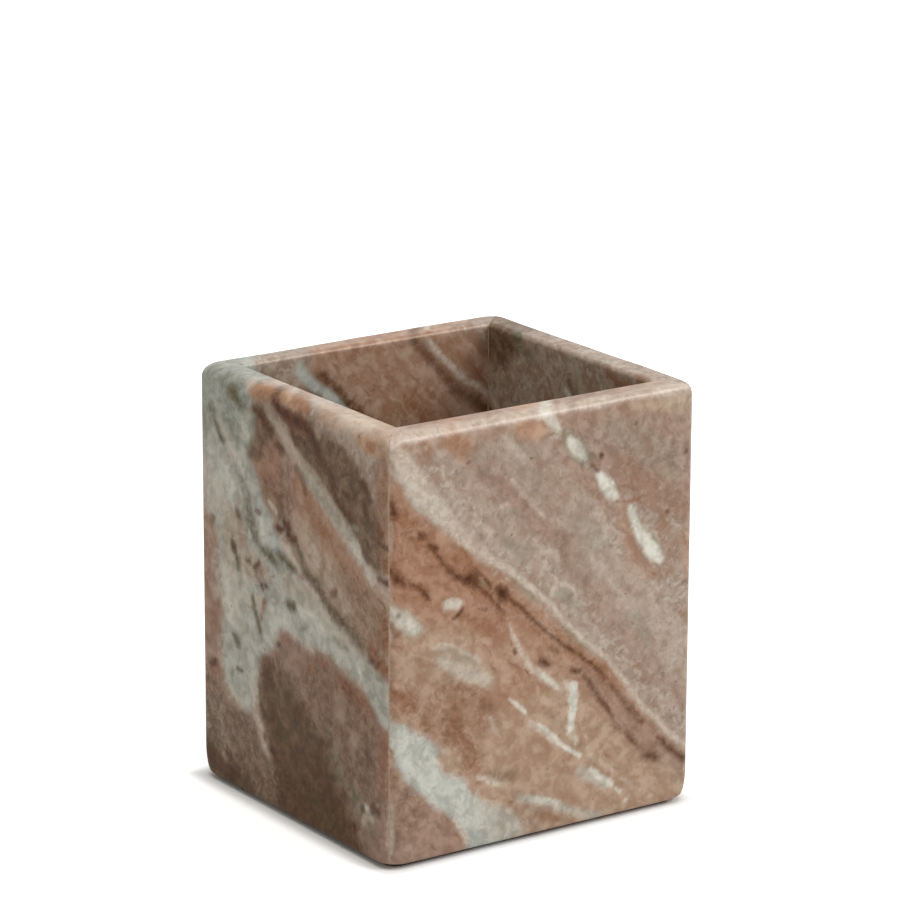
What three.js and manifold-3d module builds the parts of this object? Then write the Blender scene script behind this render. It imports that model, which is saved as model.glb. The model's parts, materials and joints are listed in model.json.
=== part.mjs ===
// A square pen holder made of veined marble slab. Four walls, mitred at the
// corners, are bonded round a base slab, and the pot stands on a thin foam pad.
// Units are millimetres, +Z is up and the front wall faces -Y. The origin is the
// centre of the pad's underside.

import * as THREE from "three";
import { mergeVertices } from "three/addons/utils/BufferGeometryUtils.js";
import Module from "manifold-3d";

// Outside size of the stone pot
const outerWidth = 84.5;
const outerDepth = 79.5;
const stoneHeight = 100;

// Thickness of the slabs
const wallThickness = 7.5;
const baseThickness = 8;

// Hand-eased edges of the stone. The upright arrises widen towards the rim and the
// foot, where the corners are ground round.
const arrisRadius = 2.5;
const rimOuterRadius = 2.5;
const rimInnerRadius = 1.2;
const rimCornerRadius = 5;
const rimCornerHeight = 4;
const footRadius = 1;
const footCornerRadius = 6.5;
const footCornerHeight = 7;
const baseEdgeRadius = 0.6;

// Resin that bonds the slabs, and the clearance kept on each side of a film
const mitreBond = 0.3;
const baseBond = 0.35;
const resinCove = 0.9;
const filmClearance = 0.02;

// Foam pad under the stone
const padThickness = 1;
const padInset = 2.5;
const padCornerRadius = 3;

// Steps in a quarter round
const edgeSteps = 8;
const coveSteps = 6;

// Margin by which a cutting tool runs past what it cuts
const toolMargin = 5;

// Heights worked out from the sizes above
const stoneBottom = padThickness;
const stoneTop = stoneBottom + stoneHeight;
const floorTop = stoneBottom + baseThickness;

const wasm = await Module();
wasm.setup();

const marble = new THREE.MeshStandardMaterial({ color: 0xb08d7a, roughness: 0.42, metalness: 0 });
const resin = new THREE.MeshStandardMaterial({ color: 0xcfc0ad, roughness: 0.3, metalness: 0 });
const foam = new THREE.MeshStandardMaterial({ color: 0x3a3734, roughness: 0.95, metalness: 0 });

// One closed loop of a rectangle with round corners, counter-clockwise, at height z.
function roundedLoop(width, depth, cornerRadius, z) {
  const loop = [];
  const corners = [[1, -1, -90], [1, 1, 0], [-1, 1, 90], [-1, -1, 180]];
  for (const [sideX, sideY, startAngle] of corners) {
    const centreX = sideX * (width / 2 - cornerRadius);
    const centreY = sideY * (depth / 2 - cornerRadius);
    const steps = cornerRadius > 0 ? edgeSteps : 0;
    for (let step = 0; step <= steps; step++) {
      const turn = steps > 0 ? (90 * step) / steps : 0;
      const angle = THREE.MathUtils.degToRad(startAngle + turn);
      const x = centreX + cornerRadius * Math.cos(angle);
      const y = centreY + cornerRadius * Math.sin(angle);
      loop.push([x, y, z]);
    }
  }
  return loop;
}

// A closed body through loops of equal length, stacked from the lowest up.
function stackedBody(loops) {
  const count = loops[0].length;
  const positions = loops.flat(2);
  const triangles = [];
  for (let level = 0; level + 1 < loops.length; level++) {
    for (let i = 0; i < count; i++) {
      const a = level * count + i;
      const b = level * count + ((i + 1) % count);
      triangles.push(a, b, b + count, a, b + count, a + count);
    }
  }
  const top = (loops.length - 1) * count;
  for (let i = 1; i + 1 < count; i++) {
    triangles.push(0, i + 1, i);
    triangles.push(top, top + i, top + i + 1);
  }
  const geometry = new THREE.BufferGeometry();
  geometry.setAttribute("position", new THREE.Float32BufferAttribute(positions, 3));
  geometry.setIndex(triangles);
  return geometry;
}

// Pairs of inset and height along a quarter round that eases the upper edge at height z.
function upperRound(radius, z) {
  return Array.from({ length: edgeSteps + 1 }, (_, step) => {
    const angle = (Math.PI / 2) * (step / edgeSteps);
    return [radius * (1 - Math.cos(angle)), z - radius * (1 - Math.sin(angle))];
  });
}

// The same for the lower edge at height z.
function lowerRound(radius, z) {
  return upperRound(radius, 0).map(([inset, height]) => [inset, z - height]).reverse();
}

// A slab whose profile lists pairs of inset and height. The radius of its corners is
// given by a function of the height.
function profiledSlab(width, depth, radiusAt, profile) {
  const loops = profile.map(([inset, z]) =>
    roundedLoop(width - 2 * inset, depth - 2 * inset, radiusAt(z), z),
  );
  return stackedBody(loops);
}

const squareCorners = () => 0;

function toSolid(geometry) {
  const bare = new THREE.BufferGeometry();
  bare.setAttribute("position", geometry.getAttribute("position"));
  bare.setIndex(geometry.index);
  const merged = mergeVertices(bare, 1e-5);
  const mesh = new wasm.Mesh({
    numProp: 3,
    vertProperties: merged.attributes.position.array,
    triVerts: new Uint32Array(merged.index.array),
  });
  return new wasm.Manifold(mesh);
}

function toGeometry(solid) {
  const mesh = solid.getMesh();
  const geometry = new THREE.BufferGeometry();
  geometry.setAttribute("position", new THREE.Float32BufferAttribute(mesh.vertProperties, 3));
  geometry.setIndex(new THREE.BufferAttribute(mesh.triVerts, 1));
  geometry.computeVertexNormals();
  return geometry;
}

// A prism of a flat outline, which runs past the stone above and below.
function verticalPrism(outline) {
  const shape = new THREE.Shape(outline.map(([x, y]) => new THREE.Vector2(x, y)));
  const height = stoneHeight + 2 * toolMargin;
  const prism = new THREE.ExtrudeGeometry(shape, { depth: height, bevelEnabled: false });
  prism.translate(0, 0, stoneBottom - toolMargin);
  prism.deleteAttribute("normal");
  prism.deleteAttribute("uv");
  return toSolid(mergeVertices(prism, 1e-5));
}

// Radius of the outer corners at height z: the arris radius, growing along quarter
// ellipses to the radii of the ground corners at the foot and the rim.
function outerCornerRadius(z) {
  const growth = (away, height) => {
    const share = 1 - THREE.MathUtils.clamp(away / height, 0, 1);
    return 1 - Math.sqrt(1 - share * share);
  };
  const atFoot = (footCornerRadius - arrisRadius) * growth(z - stoneBottom, footCornerHeight);
  const atRim = (rimCornerRadius - arrisRadius) * growth(stoneTop - z, rimCornerHeight);
  return arrisRadius + atFoot + atRim;
}

// Pairs of inset and height on the upright stretch from the foot's own round to the
// rim's, close together where the corners change their radius.
function uprightLevels() {
  const footSpan = footCornerHeight - footRadius;
  const rimSpan = rimCornerHeight - rimOuterRadius;
  const atFoot = Array.from({ length: edgeSteps }, (_, step) => {
    return [0, stoneBottom + footRadius + footSpan * ((step + 1) / edgeSteps)];
  });
  const atRim = Array.from({ length: edgeSteps }, (_, step) => {
    return [0, stoneTop - rimCornerHeight + rimSpan * (step / edgeSteps)];
  });
  return [...atFoot, ...atRim];
}

// The four walls as one ring: the outer block less the square well. The well's
// mouth is eased, and its floor is open, because the base slab is a piece of its own.
function makeRing() {
  const block = profiledSlab(outerWidth, outerDepth, outerCornerRadius, [
    ...lowerRound(footRadius, stoneBottom),
    ...uprightLevels(),
    ...upperRound(rimOuterRadius, stoneTop),
  ]);
  const flare = upperRound(rimInnerRadius, stoneTop).map(([inset, z]) => [-inset, z]);
  const well = profiledSlab(outerWidth - 2 * wallThickness, outerDepth - 2 * wallThickness, squareCorners, [
    [0, stoneBottom - toolMargin],
    ...flare,
    [-rimInnerRadius, stoneTop + toolMargin],
  ]);
  return toSolid(block).subtract(toSolid(well));
}

// Corners of the mitre planes, seen from above. Each side of the pot has a wedge
// from its outer corners to a point beyond the inner corners, along the 45-degree
// mitre. A wedge that is drawn back by gap leaves room for the bond between walls.
function wedgeOutline(side, gap) {
  const alongX = side === "front" || side === "back";
  const halfLength = (alongX ? outerWidth : outerDepth) / 2;
  const halfAcross = (alongX ? outerDepth : outerWidth) / 2;
  const back = gap / Math.SQRT2;
  const reach = wallThickness + toolMargin;
  const far = halfLength + toolMargin - 2 * back;
  const near = halfLength - reach - 2 * back;
  const outward = halfAcross + toolMargin;
  const inward = halfAcross - reach;
  const corners = [[-far, -outward], [far, -outward], [near, -inward], [-near, -inward]];
  const turns = { front: 0, right: 1, back: 2, left: 3 };
  return corners.map(([x, y]) => turned(x, y, turns[side]));
}

// A point turned about the origin by quarter turns.
function turned(x, y, quarterTurns) {
  let point = [x, y];
  for (let turn = 0; turn < quarterTurns; turn++) point = [-point[1], point[0]];
  return point;
}

function makeWall(ring, side) {
  const gap = mitreBond / 2 + filmClearance;
  return ring.intersect(verticalPrism(wedgeOutline(side, gap)));
}

// The film of resin in one mitre: a thin diagonal slice of the ring.
function makeMitreBond(ring, sideX, sideY) {
  const half = mitreBond / 2 / Math.SQRT2;
  const outerX = sideX * (outerWidth / 2 + toolMargin);
  const outerY = sideY * (outerDepth / 2 + toolMargin);
  const run = wallThickness + 2 * toolMargin;
  const innerX = outerX - sideX * run;
  const innerY = outerY - sideY * run;
  const shiftX = sideX * half;
  const shiftY = sideY * half;
  const outline = [
    [outerX + shiftX, outerY - shiftY],
    [outerX - shiftX, outerY + shiftY],
    [innerX - shiftX, innerY + shiftY],
    [innerX + shiftX, innerY - shiftY],
  ];
  const clockwise = THREE.ShapeUtils.area(outline.map(([x, y]) => ({ x, y }))) < 0;
  return ring.intersect(verticalPrism(clockwise ? outline.reverse() : outline));
}

const wellWidth = outerWidth - 2 * wallThickness;
const wellDepth = outerDepth - 2 * wallThickness;

function makeBaseSlab() {
  return profiledSlab(wellWidth - 2 * baseBond, wellDepth - 2 * baseBond, squareCorners, [
    ...lowerRound(baseEdgeRadius, stoneBottom),
    ...upperRound(baseEdgeRadius, floorTop),
  ]);
}

// The resin round the base slab: a film that fills the joint, with a small cove
// of squeezed-out resin in the corner of floor and wall.
function makeBaseBond() {
  const width = wellWidth - 2 * filmClearance;
  const depth = wellDepth - 2 * filmClearance;
  const film = baseBond - 2 * filmClearance;
  const outer = profiledSlab(width, depth, squareCorners, [
    [0, stoneBottom],
    [0, floorTop + resinCove],
  ]);
  const bore = profiledSlab(width - 2 * film, depth - 2 * film, squareCorners, [
    [0, stoneBottom - toolMargin],
    [0, floorTop + filmClearance],
    ...coveProfile(film),
    [-film / 2, floorTop + resinCove + toolMargin],
  ]);
  return toSolid(outer).subtract(toSolid(bore));
}

// Pairs of inset and height of the hollow that shapes the cove on a film of resin.
function coveProfile(film) {
  const profile = [];
  for (let step = 0; step <= coveSteps; step++) {
    const angle = (Math.PI / 2) * (step / coveSteps);
    const inset = resinCove * (1 - Math.sin(angle)) - film / 2;
    const z = floorTop + filmClearance + resinCove * (1 - Math.cos(angle));
    profile.push([inset, z]);
  }
  return profile;
}

function makePad() {
  const width = outerWidth - 2 * padInset;
  const depth = outerDepth - 2 * padInset;
  return profiledSlab(width, depth, () => padCornerRadius, [[0, 0], [0, padThickness]]);
}

const pot = new THREE.Group();

function addPiece(name, geometry, material) {
  const mesh = new THREE.Mesh(geometry, material);
  mesh.name = name;
  pot.add(mesh);
}

const ring = makeRing();
for (const side of ["front", "right", "back", "left"]) {
  addPiece(`${side}_wall`, toGeometry(makeWall(ring, side)), marble);
}

const mitres = [
  ["front_left", -1, -1],
  ["front_right", 1, -1],
  ["back_right", 1, 1],
  ["back_left", -1, 1],
];
for (const [name, sideX, sideY] of mitres) {
  addPiece(`${name}_mitre_bond`, toGeometry(makeMitreBond(ring, sideX, sideY)), resin);
}

addPiece("base_slab", makeBaseSlab(), marble);
addPiece("base_bond", toGeometry(makeBaseBond()), resin);
addPiece("foam_pad", makePad(), foam);

export default pot;
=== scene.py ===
"""Looks of a square pen holder of veined marble slab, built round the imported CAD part.

Lengths in this script are millimetres until a mesh is made, then metres. Seen from
outside, a wall's own coordinates are u to the right, v up from the stone's foot and
n inwards from the outer face.
"""
import math
import bpy
import numpy as np
from mathutils import Matrix, Vector
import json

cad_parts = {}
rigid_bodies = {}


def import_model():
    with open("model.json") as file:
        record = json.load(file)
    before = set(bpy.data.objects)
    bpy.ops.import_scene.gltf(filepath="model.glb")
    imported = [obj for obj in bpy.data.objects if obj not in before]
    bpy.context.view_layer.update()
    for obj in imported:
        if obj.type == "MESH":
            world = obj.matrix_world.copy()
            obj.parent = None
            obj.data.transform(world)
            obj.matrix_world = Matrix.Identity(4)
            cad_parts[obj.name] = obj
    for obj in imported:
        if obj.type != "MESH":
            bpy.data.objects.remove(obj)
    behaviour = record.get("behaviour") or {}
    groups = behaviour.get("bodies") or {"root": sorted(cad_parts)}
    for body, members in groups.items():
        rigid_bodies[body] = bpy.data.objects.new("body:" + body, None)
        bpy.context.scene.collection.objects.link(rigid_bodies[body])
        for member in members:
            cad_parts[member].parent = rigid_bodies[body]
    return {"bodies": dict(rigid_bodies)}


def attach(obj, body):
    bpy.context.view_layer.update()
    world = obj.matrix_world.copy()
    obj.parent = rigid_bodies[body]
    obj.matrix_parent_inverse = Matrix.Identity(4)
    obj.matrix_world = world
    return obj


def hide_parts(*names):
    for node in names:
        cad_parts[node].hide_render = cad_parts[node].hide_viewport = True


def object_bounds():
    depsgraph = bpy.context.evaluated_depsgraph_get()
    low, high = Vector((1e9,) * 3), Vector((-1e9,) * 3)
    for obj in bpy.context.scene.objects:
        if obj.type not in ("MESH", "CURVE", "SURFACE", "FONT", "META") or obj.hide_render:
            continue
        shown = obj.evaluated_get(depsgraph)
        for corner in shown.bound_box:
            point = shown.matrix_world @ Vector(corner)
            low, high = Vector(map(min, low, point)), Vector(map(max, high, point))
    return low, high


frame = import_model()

cad_low, cad_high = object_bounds()

MM = 0.001
TINY = 1e-6

# Sizes of the CAD part, the outer ones from the frame
WIDTH, DEPTH, TOP = (round((high - low) / MM, 3) for low, high in zip(cad_low, cad_high))
PAD = 1.0
HEIGHT = TOP - PAD
WALL = 7.5
BASE = 8.0
FOOT_ROUND = 1.0
MOUTH_ROUND = 1.2
ARRIS = 2.5
RIM_CORNER, RIM_CORNER_HEIGHT = 5.0, 4.0
FOOT_CORNER, FOOT_CORNER_HEIGHT = 6.5, 7.0
MITRE_GAP = 0.17
MITRE_FILM = 0.3
BASE_FILM = 0.35
COVE = 0.9
CLEARANCE = 0.02
PAD_INSET, PAD_CORNER = 2.5, 3.0

# Radius of the hand-eased outer edge of the rim at the four corners
RIM_ROUND = {"front_left": 3.2, "front_right": 1.7, "back_right": 2.2, "back_left": 3.0}

# Grids of the meshes, where columns are closer near a wall's ends
FACE_STEP = 0.5
INSIDE_STEP = 1.0
END_STEP, END_REACH = 0.3, 5.0
FOOT_STEPS, RIM_STEPS, FLAT_STEPS, MOUTH_STEPS = 5, 8, 8, 6
BASE_STEP = 0.6

# How far faces lie inside the CAD part's, and the waves of hand-worked stone on them
FACE_SUNK, TOP_SUNK, BASE_SUNK = 0.065, 0.05, 0.03
LONG_WAVE, SHORT_WAVE, RIM_WAVE, BASE_WAVE = 0.045, 0.02, 0.3, 0.03
SKIN = 1.5  # the outer face's waves reach this deep, and the inner face's are the rest

# How the veins wander off their courses: how wide the bends are and how far they go
WANDER = ((7.0, 0.6), (1.7, 0.2))

# First seeds of the random fields
SEEDS = {"rim": 5, "long": 20, "short": 30, "top": 40, "base": 50, "cove": 51, "veins": 60,
         "base_veins": 90}

SIDES = ("front", "right", "back", "left")
CORNERS = {
    "front": ("front_left", "front_right"),
    "right": ("front_right", "back_right"),
    "back": ("back_right", "back_left"),
    "left": ("back_left", "front_left"),
}

# How far a vein has moved on the outer face for each millimetre of depth, so that
# the veins run through the thickness of the slabs
DIP = {"front": (-0.4, -0.6), "right": (0.4, -0.6), "back": (-0.4, 0.6), "left": (0.4, 0.6)}


# Courses of the veins, and of some painted highlights and painted shade

# A course has a layer, the softness of its edge in millimetres, the most it covers, where
# 1 covers fully, and its points, which may run on in the next line. A ribbon's points are
# u,v,half width along its middle, and one point alone is a spot. An area's are u,v round
# its outline.

# The marble's layers, from the lowest up
LAYERS = ("orange", "mauve", "salmon", "brown", "white", "blush", "green", "pale", "bright",
          "amber", "rust", "olive", "dark")

RIBBONS = {
    # painted highlight along the front-left arris
    # painted highlight along the front-right arris
    # painted highlight along the rim's rounded front edge
    # painted highlight along the rim's rounded front edge
    "front": """
    # pale ridge from the upper left corner to the lower right edge
    pale 1.6 0.75  1,97,1.6 4,94,2.2 8,88,2.6 12,83,2 15,80,1.8 18,76.5,1.6 21,72.5,1.3 24.5,69,0.9
        28,67,0.6
    white 2 0.75  4.5,91,1.2 8.5,86,2.2 12,82.5,1.8 15,79.5,1
    green 2.5 0.5  8,104,1.5 40,104.5,2 82,104,2
    pale 0.8 0.75  -3,99.6,0.7 86,99.6,0.7
    pale 0.7 0.45  0.4,98,0.4 0.4,3,0.4
    pale 0.9 0.4  84,96,0.4 84,6,0.4
    rust 2.5 0.3  2.5,85,1 3.5,74,2.2 4,64,1.2
    blush 1.2 0.55  -3,103,1.8 86,103,1.8
    pale 0.8 0.9  22,71,0.5 28,67.3,0.7 31,65.3,0.7 35,61.5,0.7 38,59,0.6 43,55,0.5 48,49.7,0.5
        53,45,0.6 57,41.7,0.5 61,38,0.5 65,32.5,0.5 69,27,0.5 73,22.5,0.5 77,17.5,0.5 86,11,0.45
    green 1.2 0.45  34,61.3,0.6 38,57.8,0.8 41,55.2,0.5
    green 1.2 0.4  49,47.8,0.5 53,44.3,0.7 57,41,0.4
    # reddish halo of the dark veins
    rust 2.2 0.55  8,77,0.8 15,69,1.5 20,67,2.2 24,62,1.8 29,57,1.5
    rust 1 0.7  19.6,71.2,0.3 20.6,69,0.6 21.6,66.5,0.5
    rust 2.2 0.45  27,61,1.2 33,57,1.3 40,51,1.1 47,45,1 54,39.5,1 61,32,0.8
    mauve 2 0.9  61,31.5,0.5 66,25,1.4 70,20,2.2 75,15.5,2.2 80,11,1.4 88,6.5,1
    rust 1.6 0.55  1,71,1 4,66,1.4 10,62.5,1
    rust 1.6 0.55  20,55.2,0.7 25,53,1 31,51,1.2
    rust 1.6 0.6  29,55.5,0.8 31,53.5,1.2
    # dark veins below the ridge
    dark 1 0.7  11,73.6,0.6 13,72.6,0.8
    dark 0.9 0.75  12,72.6,0.2 15,69,0.4 17,66.6,0.5 19.4,64.4,0.6 24,62.3,0.6 27,59,0.4 29,56.5,0.4
        31,54.3,0.2
    dark 1.3 1  20.3,64.2,0.9 22.6,64,1.5 23.6,62.8,0.9
    dark 0.7 0.7  23.3,66,0.2 25.8,63.8,0.35 27.3,61.4,0.35
    green 0.9 0.5  25,63.2,0.5 26.3,61.6,0.5
    dark 1.2 1  29.2,60.4,0.9 30.4,58.9,1.5 32,57.6,0.8
    dark 0.8 0.75  31,58.5,0.4 33,57,0.4 36,54.4,0.35 40,51,0.35 43.5,47.6,0.35 47,44.8,0.4
        51.5,41.8,0.35 56,38,0.35 59,34.5,0.3
    dark 1.2 0.5  58,36,0.3 61,32.2,0.3 64,28.5,0.4 68,24,0.4 70.5,21.5,0.3
    dark 1.3 0.75  75.5,16.3,0.4 77.5,14,0.8 80,11.8,0.8 82.8,10,0.7 88,7,0.6
    dark 1 0.75  53.8,35.2,0.3 57,31.3,0.4 59.8,27.6,0.5 61.8,24.3,0.3
    dark 1.2 0.35  61.8,24,0.2 64.5,20.8,0.3 70,15.5,0.3 73,12.8,0.2
    dark 1.2 0.8  65.8,19.8,0.3 67.3,18.2,0.6 69,16.6,0.4
    dark 1.4 1  71.6,13.6,0.6 73.2,12.8,1.1 74.6,11.6,0.8
    # spots of dark mineral
    dark 1.4 0.9  1.2,84,0.7 2,82.2,0.9
    rust 2 0.8  -1,82,1.2 3,81,1 6.5,79.2,0.8
    dark 0.9 0.9  8.2,76.6,0.5 9.3,76,0.6
    dark 1.4 0.9  1.2,69.5,0.6 2.7,67.4,1.2 4.2,66.2,0.6
    dark 1 0.8  6.3,65.2,0.4 9,63.6,0.7 11.4,61.3,0.4
    dark 0.7 0.8  17.3,55.9,0.4 19,56.2,0.4 20,57.3,0.3
    dark 0.6 0.5  24.5,56.5,0.3 26,55.8,0.3
    dark 1 0.5  2.6,58.9,0.4
    dark 1 0.5  0.8,57,0.4 2.4,55.2,0.5
    dark 0.7 0.9  34.1,45.6,0.4 34.6,44.9,0.4
    dark 1 0.95  41,41,0.5 42.4,40.1,0.8 43.6,39.6,0.5
    dark 0.9 0.9  50.3,37.5,0.4 51.5,37,0.6 52.6,36.8,0.3
    dark 0.8 0.4  44,43.2,0.4 46,42.8,0.4
    dark 0.7 0.9  57.3,87,0.6
    dark 0.6 0.7  54.4,85.6,0.2 56.2,83.8,0.3
    dark 0.6 0.5  76.5,70.7,0.5
    dark 0.6 0.5  82,83.7,0.5
    dark 0.8 0.5  82.5,53,0.7
    green 0.9 0.8  33,78,0.6 34,77.3,0.6
    # rusty and brown streaks
    rust 0.8 0.75  62.5,76,0.2 65.5,75,0.5 68,74.8,0.4 70.5,75.3,0.2
    brown 2.5 0.4  15.5,32,0.8 18.5,29.5,1.6 20,26,1.4 24,22.5,1.4
    rust 1.8 0.45  17,31,0.7 19.5,27,1 22.5,22.5,1.2 24,19.5,0.6
    brown 1.4 0.7  27.5,17.6,0.6 30.5,16.4,1.1 34,15.3,1
    rust 1.5 0.5  1.5,41,0.8 4,39,1.3 7,36.5,0.8
    rust 1 0.5  41.5,4.6,0.5 44.5,3.1,0.7 47,2.1,0.4
    rust 1.5 0.5  72.5,56.5,0.9 74.5,55.5,1
    rust 2.2 0.4  75.5,68,1.2 78,62,1.8 78,57,1
    orange 2 0.7  82.5,76,0.8 83,66,1.2 83,55,0.8
    orange 2.5 0.6  64,74,0.8 64.5,68,1.4 67,61,1.2 71,56,1
    orange 2 0.5  46.5,92,0.8 50,85,1.2 56,79,1 60,74.5,0.6
    # brown bands and lighter clouds beside the ridge
    mauve 3.5 0.7  14,99,0.8 25,88,2 36,79,2.2 45,71,2 51,63,2.4 56,56,1.8 66,44,1.5 76,32,1.2
        85,22,1
    pale 4 0.22  14,90,2 24,80,2.5 36,68,2.5 46,59,2 56,49,1.5
    orange 2 0.55  -3,97,1.2 14,97,1.5 30,96.8,1.2 60,96.8,1.4 70,96.5,1.2
    blush 2 0.8  66,97,0.8 75,96.3,1.8 87,96.3,1.4
    pale 1 0.6  -3,99.2,0.7 14,99.2,0.8 30,99,0.7 60,99.3,0.7 86,99,0.7
    pale 4 0.22  34,94,2 44,82,2.5 56,68,2.5 66,56,2
    pale 5 0.3  54,66,2 64,55,3 74,44,3 82,34,2
    # warm patches under the rim
    amber 2.2 0.45  17,96.5,1.2 19.5,94.6,1.8
    rust 2 0.4  17.5,96,0.8 19.5,94.8,1.2
    amber 2 0.6  35.5,96.5,1.2 40.5,95.5,1.6
    rust 1.6 0.35  35,95.5,0.6 36.8,94.6,0.8
    rust 2.5 0.2  63,97.5,0.8 67.5,96.3,1.4 73,96.8,0.8
    rust 1.4 0.3  8,94,1 12,95,0.6
    green 3 0.3  60,93,1 68,89,2 76,82,2
    rust 3 0.3  64,84,1 70,78,2 78,72,1.5
    rust 1.6 0.25  40,88,0.4 44,83,0.6 48,78,0.4
    mauve 2 1  21,92.5,0.6 26,87.5,1.2 31,84.5,1.5 35.5,81,1.4 40,76,0.8
    pale 0.9 0.45  33.5,85,0.3 35.3,83.2,0.4 37.4,80.2,0.3 39,78.8,0.4 42,75.6,0.2
    green 3 0.3  34,93,1 38,88,2 42,83,1.5
    brown 3 0.3  47,69,0.8 50,64.5,1.6 53,60,1
    mauve 2 0.6  44,91,0.8 51,84.5,1.2 57,78,0.8 62,72,0.6
    mauve 2 0.5  27,77,0.6 33,71,1 40,64,0.6
    mauve 2 0.5  60,62,0.5 66,55,1 71,49,0.6
    pale 1.6 0.5  31,95,0.5 34.5,92,0.8 37,89,0.5
    pale 1.3 0.6  23.5,77.5,0.8 27.5,74.5,0.7
    pale 1 0.6  30.5,79.7,0.5 32.5,78.8,0.5
    green 1.6 0.5  32,71,0.7 35,69,1 36,66,0.7
    green 2 0.45  53.5,71,1 56,68,1.4 57.5,66,0.8
    pale 1.2 0.5  56,73.5,0.5 58.5,71,0.7 59,68,0.5
    pale 1 0.5  42,67,0.5 45,66.5,0.6 46,64.5,0.4
    pale 0.8 0.6  43.3,55.3,0.3 44.5,57.8,0.45 47.5,58.4,0.5 50.3,56.6,0.45 51,54.5,0.3
    green 1.4 0.6  45.5,55.7,0.7 47.7,55.3,1 49,54,0.6
    green 1.2 0.5  50.5,53,0.4 52,52.3,0.6
    green 1.4 0.45  66,48,0.6 70,44,0.9 72,40,0.5
    # white dashes that step down to the right
    green 1.2 0.5  48.8,92,1.6 51,89.5,2.2 53.2,87.2,1.6
    bright 1.2 0.6  41,101.5,1 43.3,98.5,1.2 45.3,95.8,0.9 46,94.7,0.6
    bright 0.9 0.65  49.6,91.5,1 51,89.6,1.5 52.2,87.8,1
    bright 0.9 0.9  56.8,82.6,0.9 58.6,80.4,1.6 60.4,78.4,1.8 61.3,77.6,1.3
    bright 0.9 1  66,73,0.8 67.5,70,1.3 69.2,66.5,1.5 71.2,63.3,1.7 73.5,61,2 75.2,59.6,1.4
    green 0.9 0.8  72.5,64.8,0.5 74.4,62.3,0.9 75.6,60.3,0.6
    green 0.6 0.9  70,65.6,0.25 71.5,63.8,0.4 73,61.9,0.3
    # pale blobs on the left
    blush 2 0.7  0.5,60,1.2 4,57.5,2.4 7.5,54.2,1.8
    white 1.4 0.9  1.5,59.8,1 4.5,57.2,2 7.2,54.9,1.6
    bright 1.4 0.6  1.5,60,0.6 4.8,57,1.4 7,55.2,1
    bright 0.9 0.55  16,59.6,0.7 17.4,59.6,0.8 18.8,58.8,0.6
    pale 1.2 0.8  15.5,59.2,0.8 17.2,59.2,1.5 19,58.6,0.9
    green 0.6 0.7  16.8,59.1,0.3 17.8,58.9,0.3
    blush 1.6 0.6  11.8,49.8,0.6 15,47.8,1.9 19,45.6,2.4 23,42.6,2.5 26.5,39.6,1.8 28.2,38,0.7
    white 1.4 1  13.8,46.8,0.7 17.5,44.6,1.4 21,42.8,1.4 24.5,40.8,1.3 27,39,0.8
    pale 1.6 0.4  15,46.5,0.8 19,44.2,1.4 23,41.6,1.4 26,39.6,0.9
    pale 0.9 0.8  12.2,49.8,0.4 15,50,0.4 19,48.4,0.4 22.5,46.6,0.4 25,44.6,0.3
    olive 1.2 0.25  16.8,48.4,0.4 19.5,47.2,0.9 22.2,45.8,0.6
    green 1.2 0.35  13.5,48.6,0.4 16.5,47.6,0.8 20,46.4,1 23,44.8,0.7
    mauve 0.9 0.7  20.8,42.3,0.3 22.4,41.3,0.6 23.8,40.2,0.4
    # fine pale lines
    pale 0.8 0.9  32.5,51.5,0.3 34,48.5,0.5 36,45,0.5 38,41.5,0.5 39,39.5,0.5
    pale 0.7 1  39.5,39.2,0.6 42,37.6,0.9 44.5,35.6,0.9 46.8,33.6,0.7
    bright 0.6 0.7  41.5,37.8,0.4 44,36,0.5 46,34.3,0.4
    bright 0.6 0.8  32.7,33.6,0.35 35,31.6,0.5 37,29.6,0.4
    pale 1 0.9  48.3,34.6,0.6 50.2,33.2,1 50,28,1 50.2,24,0.7 51.6,20.5,0.6
    bright 0.6 1  50.9,33.4,1.2 50.5,29,1.2 50,25.5,1 49.9,23.4,0.6
    pale 0.8 0.9  38.8,27,0.6 40.8,25.6,0.9 43,23.6,0.8 45,21.4,0.6
    bright 0.6 1  41.6,25.6,0.4 44.5,23.4,0.5 47.2,21,0.6 49.8,18.6,0.6 52.6,16.3,0.5
    brown 1 0.5  43.5,28,0.4 46.5,25,0.6 49,21.5,0.5 53,18.8,0.4
    pale 0.8 1  24.3,17.6,0.6 27.8,15.3,0.8 31.4,13.2,0.5
    pale 0.8 0.4  28,30,0.2 30,25,0.3
    white 1.4 0.7  52.3,12.6,0.8 54.5,11.8,1.5 57.5,9.8,1.4 60,7.4,0.8
    bright 0.8 0.9  56.2,12.3,0.5 58.3,10.3,0.8 60.2,8.5,0.9 61.6,7.2,0.6
    bright 0.6 0.7  63,6,0.4 64,5,0.5
    bright 0.6 0.5  66,2.4,0.4
    blush 1.2 0.55  54.5,17.5,0.4 60,12.5,0.5 66,7.5,0.5 73,2.5,0.4
    pale 0.8 0.3  54.5,17.5,0.3 60,12.5,0.3 66,7.5,0.3 73,2.5,0.3
    white 1.2 0.9  36,9,0.6 41,8.2,1 45,6.8,1 48,4.8,1 52,2.6,1 58,1,0.9
    bright 0.8 0.5  39,8.7,0.4 43,7.7,0.6 47,5.6,0.5
    brown 1.2 0.7  39.5,5.8,0.5 42.5,4.6,0.8 46,2.8,0.7 49,1,0.5
    pale 0.9 0.9  18,8.5,0.4 19.8,6,0.6 21.6,2.5,0.6
    bright 3 0.4  2.5,31,1 8,25,2.5 14,17,2.5 20,12,2.5 25,7,1.5
    blush 1.6 0.8  14.8,25.3,0.7 17,22.8,1.3 18.5,20.5,0.7
    """,
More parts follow.
